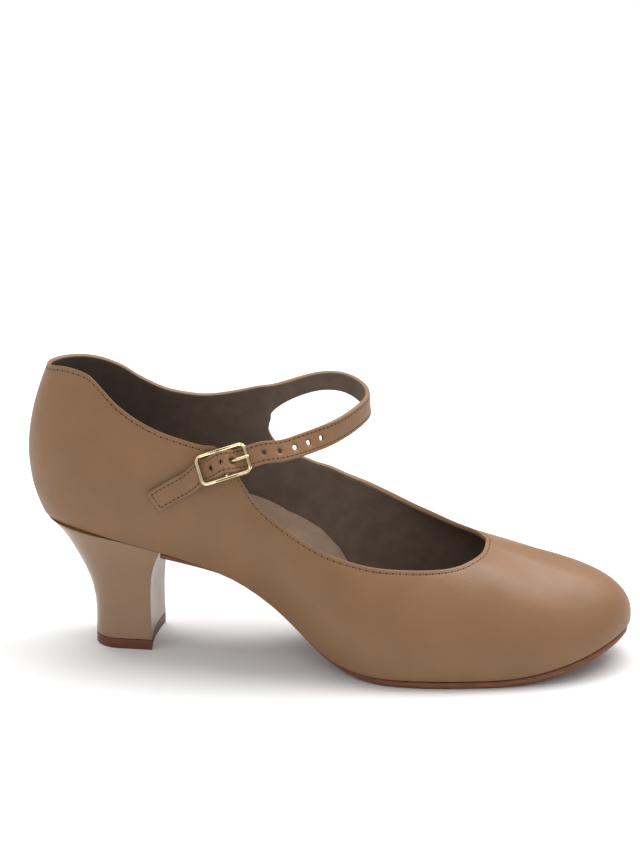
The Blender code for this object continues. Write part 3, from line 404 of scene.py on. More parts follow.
@dataclass
class Last:
    """The shape of the foot that the shoe is built round, and the strap over its instep."""

    length: float = 0.240
    ball_width: float = 0.078
    heel_height: float = 0.052
    upper_depth: float = 0.064
    toe_spring: float = 0.012
    wall: float = 0.0018
    clearance: float = 0.0003
    sole_thickness: float = 0.0030
    strap_width: float = 0.0088
    strap_root_width: float = 0.0103
    buckle_length: float = 0.0210
    buckle_bar: float = 0.0017
    buckle_thickness: float = 0.0016
    chape_thickness: float = 0.0008
    heel_rest: float = 0.039312
    bow_rise: float = 0.0006
    bow_rear: float = 0.03
    bow_reach: float = 0.58
    bow_place: float = 0.055
    strap_entry: float = 0.72

    def feather_height(self, along: np.ndarray, offset: float = 0.0) -> np.ndarray:
        """Height of the upper's underside above the floor.

        Args:
            along: Places along the shoe.
            offset: How far above the underside to read.

        Returns:
            The heights in metres.
        """
        table = np.array(FEATHER)
        gap = self.sole_thickness + self.clearance

        def height(place: np.ndarray) -> np.ndarray:
            """Height at a place, with no offset."""
            share = np.clip(place / self.length, 0.0, 1.0)
            rise = natural_spline(table[:, 0], table[:, 1], share)
            spring = natural_spline(table[:, 0], table[:, 2], share)
            return gap + rise * (self.heel_height - gap) + spring * self.toe_spring

        along = np.asarray(along, float)
        small = self.length / 500.0
        slope = (height(along + small) - height(along - small)) / (2.0 * small)
        return height(along) + offset * np.sqrt(1.0 + slope * slope)

    def controls(self, places: np.ndarray) -> tuple[np.ndarray, ...]:
        """The four control points of the wall's curve at each place, and its way out in plan.

        Args:
            places: Places on the ring of sections.

        Returns:
            Foot, swell, lean, rim and way out, a row for each place.
        """
        scale = np.array((self.length, self.ball_width, self.length, self.ball_width, self.upper_depth,
                          self.ball_width, self.upper_depth, self.ball_width, self.upper_depth))
        table = np.array([row[1:10] for row in SECTIONS]) * scale
        feet = table[:, :2]
        knots = np.concatenate(([0.0], np.cumsum(np.linalg.norm(np.roll(feet, -1, axis=0) - feet, axis=1))))
        at = np.interp(np.mod(places, SECTION_COUNT), np.arange(SECTION_COUNT + 1), knots)
        rows = ring_spline(knots, table, at)
        small = knots[-1] * 1e-4
        forward = ring_spline(knots, table, at + small) - ring_spline(knots, table, at - small)
        way_foot = unit(np.column_stack((forward[:, 1], -forward[:, 0])))
        way_rim = unit(np.column_stack((forward[:, 3], -forward[:, 2])))
        base = self.feather_height(rows[:, 0])
        foot = np.column_stack((rows[:, 0], rows[:, 1], base))
        rim = np.column_stack((rows[:, 2], rows[:, 3], base + rows[:, 4]))
        swell = foot + np.column_stack((way_foot * rows[:, 5:6], rows[:, 6]))
        lean = rim + np.column_stack((way_rim * rows[:, 7:8], -rows[:, 8]))
        return foot, swell, lean, rim, way_foot

    def surface(self, places: np.ndarray, heights: np.ndarray) -> np.ndarray:
        """Points of the upper's outer face.

        Args:
            places: Places on the ring of sections.
            heights: For each place, a share of the wall's height or a row of them.

        Returns:
            The points, in the same arrangement as the heights.
        """
        places, heights = np.atleast_1d(places), np.asarray(heights, float)
        flat = heights.reshape(len(places), -1)[..., None]
        foot, swell, lean, rim, _ = self.controls(places)
        points = ((1.0 - flat) ** 3 * foot[:, None] + 3.0 * (1.0 - flat) ** 2 * flat * swell[:, None]
                  + 3.0 * (1.0 - flat) * flat * flat * lean[:, None] + flat ** 3 * rim[:, None])
        return points.reshape(heights.shape + (3,))

    def normals(self, places: np.ndarray, heights: np.ndarray) -> np.ndarray:
        """Directions out of the upper's outer face, one for each place and height."""
        small = 0.004
        places, heights = np.asarray(places, float), np.asarray(heights, float)
        round_way = self.surface(places + small, heights) - self.surface(places - small, heights)
        up_way = self.surface(places, heights + small) - self.surface(places, heights - small)
        return unit(np.cross(round_way, up_way))

    def topline(self, places: np.ndarray) -> np.ndarray:
        """Share of the wall's height at which the topline runs, for each place."""
        rows = [(float(i), row[-1]) for i, row in enumerate(SECTIONS[:23])]
        rows += [(float(i) - SECTION_COUNT, SECTIONS[i][-1]) for i in range(23, SECTION_COUNT)]
        rows = sorted(rows + list(TOPLINE_TURNS))
        return steady_curve([row[0] for row in rows], [row[1] for row in rows], places)

    def buckle_axes(self) -> tuple[np.ndarray, np.ndarray, np.ndarray]:
        """Directions along the strap, across it and out of the buckle's face."""
        yaw, pitch, roll = (math.radians(a) for a in BUCKLE_ANGLES)
        along = np.array((math.cos(pitch) * math.cos(yaw), math.cos(pitch) * math.sin(yaw), math.sin(pitch)))
        level = np.array((math.sin(yaw), -math.cos(yaw), 0.0))
        upright = np.cross(level, along)
        upright = upright if upright[2] > 0.0 else -upright
        out = level * math.cos(roll) + upright * math.sin(roll)
        return along, np.cross(out, along), out

    def at_buckle(self, along: float, across: float, lift: float) -> np.ndarray:
        """A point placed from the middle of the buckle's frame.

        Args:
            along: Distance along the strap, towards its root.
            across: Distance across the strap, upwards.
            lift: Distance out of the frame's middle plane.

        Returns:
            The point, along the shoe from the back of the upper.
        """
        axes = self.buckle_axes()
        centre = np.array(BUCKLE_PLACE) * (self.length, self.ball_width, self.heel_height + self.upper_depth)
        return centre + axes[0] * along + axes[1] * across + axes[2] * lift

    def strap_lift(self, along: float) -> float:
        """Height of the strap's outer face over the buckle's middle plane, along the buckle."""
        under = -(self.buckle_thickness / 2.0 + self.clearance)
        over = self.buckle_thickness / 2.0 + self.chape_thickness + self.wall + 3.0 * self.clearance
        reach = self.buckle_length / 2.0 - self.buckle_bar - self.clearance
        share = min(1.0, abs(along) / reach)
        return under + (over - under) * math.cos(math.pi / 2.0 * share) ** 2

    def strap_keys(self) -> tuple[np.ndarray, np.ndarray]:
        """Centre and width direction of the strap's outer face at its keys, from root to tail."""
        centres, widths = [], []
        scale = (self.length, self.ball_width, self.heel_height + self.upper_depth)
        hoop = np.array([row[1:4] for row in STRAP_HOOP]) * scale
        root = self.surface(np.array([ROOT_PLACE]), np.array([(ROOT_CUT + ROOT_FRONT_CUT) / 2.0]))[0]
        lift = self.strap_lift(self.buckle_length)
        entry = self.at_buckle(self.strap_entry * self.buckle_length, 0.0, lift)
        path = np.vstack((root, hoop, entry))
        for i, row in enumerate(STRAP_HOOP):
            tangent = unit(path[i + 2] - path[i])
            upright = unit(np.array((0.0, 0.0, 1.0)) - tangent * tangent[2])
            lean = math.radians(row[4])
            centres.append(hoop[i])
            widths.append(upright * math.cos(lean) + np.cross(tangent, upright) * math.sin(lean))
        across = self.buckle_axes()[1]
        half = self.buckle_length / 2.0
        for share, sunk, strayed in BUCKLE_RUN:
            lift = self.strap_lift(share * half) - sunk * self.strap_width
            away = min(1.0, abs(share + self.bow_rear) / self.bow_reach)
            arch = self.bow_rise * math.cos(math.pi / 2.0 * away) ** 2
            centres.append(self.at_buckle(share * half, strayed * self.strap_width + arch, lift))
            widths.append(across)
        places = np.array([row[0] for row in TAIL])
        heights = np.array([row[1] for row in TAIL])
        outs = self.normals(places, heights)
        tail = self.surface(places, heights) + outs * (self.wall + 2.0 * self.clearance)
        before = centres[-1]
        for i, (point, out) in enumerate(zip(tail, outs)):
            tangent = unit(tail[min(i + 1, len(tail) - 1)] - before)
            cross = unit(np.cross(out, tangent))
            centres.append(point)
            widths.append(cross if cross[2] > 0.0 else -cross)
            before = point
        return np.array(centres), np.array(widths)

    def strap(self, pitch: float) -> tuple[np.ndarray, np.ndarray, np.ndarray, int]:
        """Stations of the strap, evenly spaced from the hole that the prong goes through.

        Args:
            pitch: Distance between two stations.

        Returns:
            Centres, width directions, widths, and the number of the prong's station.
        """
        centres, widths = self.strap_keys()
        run = np.concatenate(([0.0], np.cumsum(np.linalg.norm(np.diff(centres, axis=0), axis=1))))
        fine = np.linspace(0.0, run[-1], 4000)
        line = natural_spline(run, centres, fine)
        real = np.concatenate(([0.0], np.cumsum(np.linalg.norm(np.diff(line, axis=0), axis=1))))
        target = self.at_buckle(self.bow_place * self.buckle_length / 2.0, 0.0, self.strap_lift(0.0))
        hole = real[np.argmin(np.linalg.norm(line - target, axis=1))]
        before = int(hole / pitch)
        after = int((real[-1] - hole) / pitch)
        lengths = hole + pitch * np.arange(-before, after + 1)
        lengths[0], lengths[-1] = 0.0, real[-1]
        at = np.interp(lengths, real, fine)
        centre = natural_spline(run, centres, at)
        tangent = unit(np.gradient(centre, axis=0))
        width = natural_spline(run, widths, at)
        width = unit(width - tangent * np.sum(width * tangent, axis=1, keepdims=True))
        fade = np.exp(-at / (self.strap_width / 2.0))
        full = self.strap_width + (self.strap_root_width - self.strap_width) * fade
        return centre, width, full, before

    def home(self, points: np.ndarray) -> np.ndarray:
        """The points moved so that the middle of the heel's rest is the origin."""
        return np.asarray(points, float) - np.array((self.heel_rest, 0.0, 0.0))


class Bench:
    """Ways to make and finish a mesh with Blender's own tools."""

    @staticmethod
    def clear_selection() -> None:
        """Leave edit mode and deselect everything."""
        if bpy.context.object and bpy.context.object.mode != "OBJECT":
            bpy.ops.object.mode_set(mode="OBJECT")
        bpy.ops.object.select_all(action="DESELECT")

    @staticmethod
    def pick(obj: bpy.types.Object) -> None:
        """Select one object alone and make it the active one."""
        Bench.clear_selection()
        obj.select_set(True)
        bpy.context.view_layer.objects.active = obj

    @staticmethod
    def grid(name: str, points: np.ndarray, holes: Sequence[Hole] = ()) -> bpy.types.Object:
        """A sheet of quads from a grid primitive, with each vertex put at its point.

        Args:
            name: Name of the object.
            points: Rows and columns of points.
            holes: Row, column, radius and lengthwise stretch of each hole, its centre on a vertex.

        Returns:
            The object.
        """
        Bench.clear_selection()
        rows, columns = points.shape[:2]
        bpy.ops.mesh.primitive_grid_add(x_subdivisions=columns - 1, y_subdivisions=rows - 1, size=2.0)
        obj = bpy.context.object
        obj.name = obj.data.name = name
        flat = np.zeros(len(obj.data.vertices) * 3)
        obj.data.vertices.foreach_get("co", flat)
        flat = flat.reshape(-1, 3)
        column = np.rint((flat[:, 0] + 1.0) / 2.0 * (columns - 1)).astype(int)
        row = np.rint((flat[:, 1] + 1.0) / 2.0 * (rows - 1)).astype(int)
        placed = points[row, column].copy()
        number = {(r, c): i for i, (r, c) in enumerate(zip(row.tolist(), column.tolist()))}
        gone = []
        for r, c, radius, stretch in holes:
            centre, lengthwise = points[r, c], unit(points[r + 1, c] - points[r - 1, c])
            for dr in (-1, 0, 1):
                for dc in (-1, 0, 1):
                    if dr or dc:
                        way = points[r + dr, c + dc] - centre
                        spoke = unit(way) * radius
                        spoke += lengthwise * (spoke @ lengthwise) * (stretch - 1.0)
                        placed[number[r + dr, c + dc]] = centre + spoke
            gone.append(number[r, c])
        obj.data.vertices.foreach_set("co", placed.ravel())
        if gone:
            for vertex in obj.data.vertices:
                vertex.select = vertex.index in gone
            bpy.ops.object.mode_set(mode="EDIT")
            bpy.ops.mesh.select_mode(type="VERT")
            bpy.ops.mesh.select_all(action="DESELECT")
            bpy.ops.object.mode_set(mode="OBJECT")
            for index in gone:
                obj.data.vertices[index].select = True
            bpy.ops.object.mode_set(mode="EDIT")
            bpy.ops.mesh.delete(type="VERT")
            bpy.ops.object.mode_set(mode="OBJECT")
        return obj

    @staticmethod
    def merge(objs: Sequence[bpy.types.Object], distance: float = 1e-6) -> bpy.types.Object:
        """Join objects and weld the points where they meet.

        Args:
            objs: The objects; the first one keeps its name.
            distance: How near two points are to be welded.

        Returns:
            The joined object, with its faces pointing outwards.
        """
        Bench.clear_selection()
        for obj in objs:
            obj.select_set(True)
        bpy.context.view_layer.objects.active = objs[0]
        if len(objs) > 1:
            bpy.ops.object.join()
        Bench.weld(objs[0], distance)
        return objs[0]

    @staticmethod
    def weld(obj: bpy.types.Object, distance: float = 1e-6) -> None:
        """Merge an object's doubled points and turn its faces outwards."""
        Bench.pick(obj)
        bpy.ops.object.mode_set(mode="EDIT")
        bpy.ops.mesh.select_all(action="SELECT")
        bpy.ops.mesh.remove_doubles(threshold=distance)
        bpy.ops.mesh.normals_make_consistent(inside=False)
        bpy.ops.object.mode_set(mode="OBJECT")

    @staticmethod
    def apply(obj: bpy.types.Object, kind: str, **settings: object) -> None:
        """Add a modifier, set it and apply it.

        Args:
            obj: The object.
            kind: The modifier's type.
            settings: Its settings by name.
        """
        Bench.pick(obj)
        modifier = obj.modifiers.new(kind.lower(), kind)
        for name, value in settings.items():
            setattr(modifier, name, value)
        bpy.ops.object.modifier_apply(modifier=modifier.name)

    @staticmethod
    def soften(obj: bpy.types.Object, degrees: float = 40.0) -> None:
        """Shade an object smooth except across sharp edges."""
        Bench.pick(obj)
        bpy.ops.object.shade_smooth_by_angle(angle=math.radians(degrees))

    @staticmethod
    def copy_node(node: bpy.types.Object, name: str) -> bpy.types.Object:
        """A welded copy of a solid from the frame, as quads where they are flat.

        Args:
            node: The solid.
            name: Name of the copy.

        Returns:
            The copy.
        """
        Bench.clear_selection()
        copy = bpy.data.objects.new(name, node.data.copy())
        bpy.context.scene.collection.objects.link(copy)
        copy.data.materials.clear()
        Bench.pick(copy)
        bpy.ops.object.mode_set(mode="EDIT")
        bpy.ops.mesh.select_all(action="SELECT")
        bpy.ops.mesh.remove_doubles(threshold=1e-6)
        bpy.ops.mesh.tris_convert_to_quads(face_threshold=math.radians(12.0),
                                           shape_threshold=math.radians(50.0))
        bpy.ops.object.mode_set(mode="OBJECT")
        return copy

    @staticmethod
    def sweep(name: str, centres: np.ndarray, outs: np.ndarray, ups: np.ndarray,
              shape: np.ndarray, closed: bool) -> bpy.types.Object:
        """A solid strip with one cross-section along a path.

        Args:
            name: Name of the object.
            centres: Points of the path.
            outs: First direction of the cross-section at each point.
            ups: Second direction of the cross-section at each point.
            shape: Cross-section points, one set for all or one for each point of the path.
            closed: Whether the path returns to its start.

        Returns:
            The object.
        """
        shape = np.broadcast_to(shape, (len(centres),) + shape.shape[-2:])
        rings = centres[:, None] + outs[:, None] * shape[..., :1] + ups[:, None] * shape[..., 1:]
        rings = np.concatenate((rings, rings[:, :1]), axis=1)
        if closed:
            rings = np.concatenate((rings, rings[:1]), axis=0)
        obj = Bench.grid(name, rings)
        Bench.weld(obj, WELD_GAP)
        if not closed:
            bpy.ops.object.mode_set(mode="EDIT")
            bpy.ops.mesh.select_mode(type="EDGE")
            bpy.ops.mesh.select_all(action="DESELECT")
            bpy.ops.mesh.select_non_manifold()
            bpy.ops.mesh.fill_holes(sides=0)
            bpy.ops.mesh.select_all(action="SELECT")
            bpy.ops.mesh.normals_make_consistent(inside=False)
            bpy.ops.object.mode_set(mode="OBJECT")
        return obj


class Mixer:
    """A material under construction, with short ways to add and link its nodes."""

    def __init__(self, name: str) -> None:
        """Start a material with its shader and its Object coordinates."""
        self.material = bpy.data.materials.new(name)
        self.material.use_nodes = True
        self.tree = self.material.node_tree
        self.shader = self.tree.nodes["Principled BSDF"]
        self.coordinates = self.tree.nodes.new("ShaderNodeTexCoord").outputs["Object"]

    def node(self, kind: str, inputs: dict[str, object] | None = None, **settings: object) -> bpy.types.Node:
        """Add a node.

        Args:
            kind: The node's type.
            inputs: Values or linked outputs for its inputs.
            settings: The node's own settings.

        Returns:
            The node.
        """
        node = self.tree.nodes.new(kind)
        for name, value in settings.items():
            setattr(node, name, value)
        for name, value in (inputs or {}).items():
            if isinstance(value, bpy.types.NodeSocket):
                self.tree.links.new(value, node.inputs[name])
            else:
                node.inputs[name].default_value = value
        return node

    def noise(self, scale: float, detail: float = 3.0,
              stretch: tuple[float, float, float] | None = None) -> bpy.types.NodeSocket:
        """The value of a noise pattern.

        Args:
            scale: Waves a metre.
            detail: Finer layers of the pattern.
            stretch: Scale along each axis before that.

        Returns:
            The value's socket.
        """
        vector = self.coordinates
        if stretch:
            vector = self.node("ShaderNodeMapping", {"Vector": vector, "Scale": stretch}).outputs["Vector"]
        inputs = {"Vector": vector, "Scale": scale, "Detail": detail}
        return self.node("ShaderNodeTexNoise", inputs).outputs["Fac"]

    def cells(self, scale: float) -> bpy.types.NodeSocket:
        """The distance pattern of cells, so many of them a metre."""
        return self.node("ShaderNodeTexVoronoi", {"Vector": self.coordinates, "Scale": scale},
                         feature="DISTANCE_TO_EDGE").outputs["Distance"]

    def ramp(self, value: bpy.types.NodeSocket,
             stops: Sequence[tuple[float, Colour]]) -> bpy.types.NodeSocket:
        """A colour for each value.

        Args:
            value: The value's socket.
            stops: Places and colours, with the places rising.

        Returns:
            The colour's socket.
        """
        node = self.node("ShaderNodeValToRGB", {"Fac": value})
        elements = node.color_ramp.elements
        while len(elements) < len(stops):
            elements.new(0.5)
        for element, (place, colour) in zip(elements, stops):
            element.position, element.color = place, (*colour, 1.0)
        return node.outputs["Color"]

    def grade(self, value: bpy.types.NodeSocket, low: float, high: float) -> bpy.types.NodeSocket:
        """The value spread from its middle range to the range from low to high."""
        node = self.node("ShaderNodeMapRange", {"Value": value, "From Min": 0.3, "From Max": 0.7,
                                                "To Min": low, "To Max": high})
        return node.outputs["Result"]

    def bump(self, height: bpy.types.NodeSocket, strength: float, distance: float,
             under: bpy.types.NodeSocket | None = None) -> bpy.types.NodeSocket:
        """Bumps from a height pattern, over other bumps if they are given."""
        inputs: dict[str, object] = {"Height": height, "Strength": strength, "Distance": distance}
        if under is not None:
            inputs["Normal"] = under
        return self.node("ShaderNodeBump", inputs).outputs["Normal"]

    def shade(self, **inputs: object) -> bpy.types.Material:
        """Set or link the shader's inputs, named with underscores, and return the material."""
        for name, value in inputs.items():
            socket = self.shader.inputs[name.replace("_", " ").title().replace("Ior", "IOR")]
            if isinstance(value, bpy.types.NodeSocket):
                self.tree.links.new(value, socket)
            else:
                socket.default_value = value
        return self.material


def toned(colour: Colour, share: float) -> Colour:
    """The colour made darker or lighter by a share of itself."""
    return tuple(channel * share for channel in colour)


@dataclass(frozen=True)
class LeatherFinish:
    """Smooth dyed leather with a fine grain and faint clouding."""

    name: str
    colour: Colour
    roughness: float = 0.46
    clouding: float = 0.08
    grain: float = 0.34
    pore_tone: float = 0.72
    pore_share: float = 0.12

    def build(self) -> bpy.types.Material:
        """The leather's material."""
        mixer = Mixer(self.name)
        dark, light = toned(self.colour, 1.0 - self.clouding), toned(self.colour, 1.0 + self.clouding)
        clouds = mixer.noise(38.0, 5.0)
        colour = mixer.ramp(clouds, ((0.32, dark), (0.5, self.colour), (0.68, light)))
        pores = mixer.noise(2400.0, 2.0)
        speckle = mixer.ramp(pores, ((0.35, toned(self.colour, self.pore_tone)), (0.55, self.colour)))
        mix = {"Fac": self.pore_share, "Color1": colour, "Color2": speckle}
        colour = mixer.node("ShaderNodeMixRGB", mix).outputs["Color"]
        under = mixer.bump(mixer.noise(260.0, 4.0), self.grain * 0.4, 0.0005)
        grain = mixer.bump(mixer.cells(900.0), self.grain, 0.00018, under)
        fine = mixer.bump(pores, self.grain * 0.6, 0.00008, grain)
        rough = mixer.grade(mixer.noise(120.0), self.roughness - 0.04, self.roughness + 0.05)
        return mixer.shade(base_color=colour, roughness=rough, normal=fine, specular_ior_level=0.42)


@dataclass(frozen=True)
class LiningFinish:
    """Matt lining or suede with a short nap."""

    name: str
    colour: Colour
    roughness: float = 0.86
    mottling: float = 0.16
    nap: float = 0.35

    def build(self) -> bpy.types.Material:
        """The lining's material."""
        mixer = Mixer(self.name)
        dark, light = toned(self.colour, 1.0 - self.mottling), toned(self.colour, 1.0 + self.mottling)
        colour = mixer.ramp(mixer.noise(180.0, 6.0), ((0.3, dark), (0.5, self.colour), (0.7, light)))
        nap = mixer.bump(mixer.noise(1700.0, 3.0), self.nap, 0.00018)
        return mixer.shade(base_color=colour, roughness=self.roughness, normal=nap, sheen_weight=0.12,
                           specular_ior_level=0.25)


@dataclass(frozen=True)
class LiningWithPaintedShading(LiningFinish):
    """Matt lining that changes to a second colour in front of a straight line across the shoe, the change
    painting light and shade inside the shoe.
    """

    # Darker colour in front of the line, used by the sock: painted shade in the toe cavity
    front: Colour = (0.130, 0.094, 0.072)
    line: float = 0.0875
    blend: float = 0.0008

    def build(self) -> bpy.types.Material:
        """The lining's material, with its painted light and shade along the shoe."""
        mixer = Mixer(self.name)
        fade = mixer.noise(180.0, 5.0)
        rear, front = (mixer.ramp(fade, ((0.3, toned(tone, 1.0 - self.mottling)),
                                         (0.7, toned(tone, 1.0 + self.mottling))))
                       for tone in (self.colour, self.front))
        # The colour changes along the shoe: painted light and shade inside the shoe, not a change of material
        along = mixer.node("ShaderNodeSeparateXYZ", {"Vector": mixer.coordinates}).outputs["X"]
        share = mixer.node("ShaderNodeMapRange", {"Value": along, "From Min": self.line - self.blend / 2.0,
                                                  "From Max": self.line + self.blend / 2.0}).outputs["Result"]
        mix = {"Fac": share, "Color1": rear, "Color2": front}
        colour = mixer.node("ShaderNodeMixRGB", mix).outputs["Color"]
        nap = mixer.bump(mixer.noise(1700.0, 3.0), self.nap, 0.00018)
        return mixer.shade(base_color=colour, roughness=self.roughness, normal=nap, specular_ior_level=0.25)


@dataclass(frozen=True)
class EdgeFinish:
    """Cut sole leather or rubber, stained on its edge, with thin layers along it."""

    name: str
    colour: Colour
    roughness: float = 0.58
    dark: float = 0.72
    light: float = 1.25

    def build(self) -> bpy.types.Material:
        """The edge's material."""
        mixer = Mixer(self.name)
        layers = mixer.noise(500.0, 3.0, (0.25, 0.25, 3.0))
        dark, light = toned(self.colour, self.dark), toned(self.colour, self.light)
        colour = mixer.ramp(layers, ((0.3, dark), (0.52, self.colour), (0.72, light)))
        bumps = mixer.bump(layers, 0.22, 0.0002, mixer.bump(mixer.noise(1500.0), 0.15, 0.0001))
        return mixer.shade(base_color=colour, roughness=self.roughness, normal=bumps, specular_ior_level=0.35)


@dataclass(frozen=True)
class MetalFinish:
    """Polished pale gilt metal."""

    name: str
    colour: Colour
    tarnish: float = 0.86
    roughness: tuple[float, float] = (0.13, 0.24)

    def build(self) -> bpy.types.Material:
        """The metal's material."""
        mixer = Mixer(self.name)
        smear = mixer.noise(420.0, 4.0)
        colour = mixer.ramp(smear, ((0.35, toned(self.colour, self.tarnish)), (0.6, self.colour)))
        return mixer.shade(base_color=colour, metallic=1.0, roughness=mixer.grade(smear, *self.roughness),
                           normal=mixer.bump(smear, 0.05, 0.00005))


class Finish(Enum):
    """The finishes of the shoe."""

    UPPER = LeatherFinish("tan_leather", (0.200, 0.100, 0.042))
    EDGE = LeatherFinish("folded_edge_leather", (0.215, 0.114, 0.054), 0.55, 0.05, 0.15)
    HEEL = LeatherFinish("heel_cover_leather", (0.245, 0.152, 0.088), 0.32, 0.04, 0.03)
    # Lining darker at the back and lighter towards the front: painted shade deep in the heel cup and painted
    # light in the open throat
    LINING = LiningWithPaintedShading("grey_brown_lining_painted_shading", (0.066, 0.048, 0.036), 0.8, 0.12, 0.2,
                        (0.150, 0.108, 0.083), 0.040, 0.070)
    # Sock, insole and arch lining darker in front of a straight line across the shoe: painted shade in the
    # toe cavity
    SOCK = LiningWithPaintedShading("beige_sock_painted_toe_shade", (0.400, 0.285, 0.210), 0.82, 0.10, 0.25)
    SOLE = EdgeFinish("stained_sole_edge", (0.165, 0.062, 0.028))
    TOP_PIECE = EdgeFinish("stained_heel_rubber", (0.125, 0.040, 0.018), 0.5)
    GILT = MetalFinish("pale_gilt", (0.72, 0.60, 0.37))
    THREAD = LiningFinish("tan_thread", (0.120, 0.062, 0.032), 0.6, 0.1, 0.2)
    # Near-black dots at the needle holes: painted shade inside each hole
    HOLE = LiningFinish("needle_hole_shade", (0.020, 0.010, 0.006), 0.95, 0.1, 0.1)

    def material(self) -> bpy.types.Material:
        """The finish's material, made once."""
        found = bpy.data.materials.get(self.value.name)
        return found or self.value.build()


@dataclass
class Upper:
    """The leather upper with its strap, edge binding, linings and stitches."""

    last: Last
    margin: float = 0.009
    feather_round: float = 0.0004
    feather_row: float = 0.0008
    wall_rows: int = 15
    finer: int = 2
    hole_pitch: float = 0.0062
    hole_radius: float = 0.00092
    prong_hole_radius: float = 0.00118
    prong_hole_stretch: float = 1.62
    root_blend: float = 0.017
    seam: float = 0.0019
    strap_seam: float = 0.0013
    lip: float = 0.00012
    groove: float = 0.00012
    edge_row: float = 0.0004
    low_row: float = 0.0034
    upper_row: float = 0.0026
    ridge_row: float = 0.0012
    seam_sink: float = 0.00006
    strap_seam_lift: float = 0.00002
    join_gap: float = 2e-5
    strap_groove: float = 0.7
    root_pulls: tuple[float, float] = (0.75, 0.9)
    sock_gap: float = 0.0007
    sock_wall: float = 0.0005
    rim_zone: float = 0.0044
    section_mm: float = 8.5
    height_mm: float = 55.0
    crease_bend: float = 0.03
    stitch_size: tuple[float, float, float] = (0.00075, 0.00020, 0.00012)
    shade_dot_size: tuple[float, float, float] = (0.00040, 0.00032, 0.00012)
    stitch_pitches: tuple[float, float] = (0.0026, 0.0019)
    pieces: list[bpy.types.Object] = field(default_factory=list)

    def places(self) -> np.ndarray:
        """Places of the mesh columns on the ring of sections, the last one being the root again."""
        places = [ROOT_PLACE]
        for start, end, count in COLUMN_SPANS:
            steps = count * self.finer
            places += list(start + (end - start) * np.arange(1, steps + 1) / steps)
        return np.array(places)

    def crest(self, places: np.ndarray) -> np.ndarray:
        """Height share at which the lower rows end: under the strap's root behind it, else the topline."""
        share = (CORNER_PLACE - places) / (CORNER_PLACE - ROOT_PLACE)
        middle = CORNER_CUT + (ROOT_FRONT_CUT - CORNER_CUT) * share
        return np.where(places <= CORNER_PLACE + 1e-9, middle, self.last.topline(places))

    def creased(self, points: np.ndarray, normals: np.ndarray,
                places: np.ndarray, heights: np.ndarray) -> np.ndarray:
        """The outer face with its soft wear creases pressed in.

        Args:
            points: Points of the face.
            normals: Directions out of it.
            places: Place on the ring of each point.
            heights: Height share of each point.

        Returns:
            The moved points.
        """
        moved = points.copy()
        for place, height, lean, long, wide, deep in CREASES:
            half = SECTION_COUNT / 2.0
            across = (np.mod(places - place + half, SECTION_COUNT) - half) * self.section_mm
            up = (heights - height) * self.height_mm
            turn = math.radians(lean)
            run = across * math.cos(turn) + up * math.sin(turn)
            side = up * math.cos(turn) - across * math.sin(turn) + self.crease_bend * run * run / long
            depth = deep * np.exp(-(run / long) ** 2 - (side / wide) ** 2)
            moved -= normals * depth[..., None]
        return moved

    def build_wall(self) -> bpy.types.Object:
        """The wall with its turned-in margin and the strap, as one leather sheet with real thickness."""
        last, places = self.last, self.places()
        foot, swell, _, _, way_out = last.controls(places)
        crest = self.crest(places)
        start = self.feather_round / (3.0 * (swell[:, 2] - foot[:, 2]))
        inner, edge = foot.copy(), foot.copy()
        inner[:, :2] -= way_out * self.margin
        edge[:, :2] -= way_out * self.feather_round
        inner[:, 2], edge[:, 2] = last.feather_height(inner[:, 0]), last.feather_height(edge[:, 0])
        middle = (inner + edge) / 2.0
        scale = self.share_length(places, crest)
        drops = np.array((self.low_row, self.upper_row, self.seam, self.ridge_row, self.edge_row, 0.0))
        second = start * (1.0 + self.feather_row / self.feather_round)
        reach = crest - self.rim_zone / scale - second
        body = second[:, None] + reach[:, None] * np.linspace(0.0, 1.0, self.wall_rows - 1)
        heights = np.concatenate((start[:, None], body, crest[:, None] - drops / scale[:, None]), axis=1)
        raised = np.array((0.0, 0.0, -self.groove, self.lip, self.lip, 0.0))
        raised = raised * self.fade(places, CORNER_PLACE, places[-1])[:, None]
        flat = np.repeat(places, heights.shape[1]).reshape(heights.shape)
        outs = last.normals(flat.ravel(), heights.ravel()).reshape(heights.shape + (3,))
        wall_points = self.creased(last.surface(places, heights), outs, flat, heights)
        wall_points[:, self.wall_rows:] += outs[:, self.wall_rows:] * raised[..., None]
        sheet = np.concatenate((inner[:, None], middle[:, None], edge[:, None], wall_points), axis=1)
        wall = Bench.grid("upper_leather", last.home(sheet))
        band = self.build_band(places[places <= CORNER_PLACE + 1e-9])
        ribbon, holes = self.strap_sheet()
        strap = Bench.grid("upper_strap", last.home(ribbon), holes)
        upper = Bench.merge([wall, band, strap], self.join_gap)
        upper.data.materials.clear()
        for finish in (Finish.UPPER, Finish.LINING, Finish.EDGE):
            upper.data.materials.append(finish.material())
        for polygon in upper.data.polygons:
            polygon.material_index = 0
        Bench.apply(upper, "SOLIDIFY", thickness=last.wall, offset=-1.0, use_even_offset=True,
                    use_quality_normals=True, material_offset=1, material_offset_rim=2)
        Bench.apply(upper, "SUBSURF", levels=1, render_levels=1)
        Bench.soften(upper, LEATHER_ANGLE)
        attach(upper, "root")
        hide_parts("upper")
        self.pieces.append(upper)
        return upper

    @staticmethod
    def fade(places: np.ndarray, start: float, end: float) -> np.ndarray:
        """One between two places, falling to nothing at and beyond them."""
        blend = 0.4
        return np.clip((places - start) / blend, 0.0, 1.0) * np.clip((end - places) / blend, 0.0, 1.0)

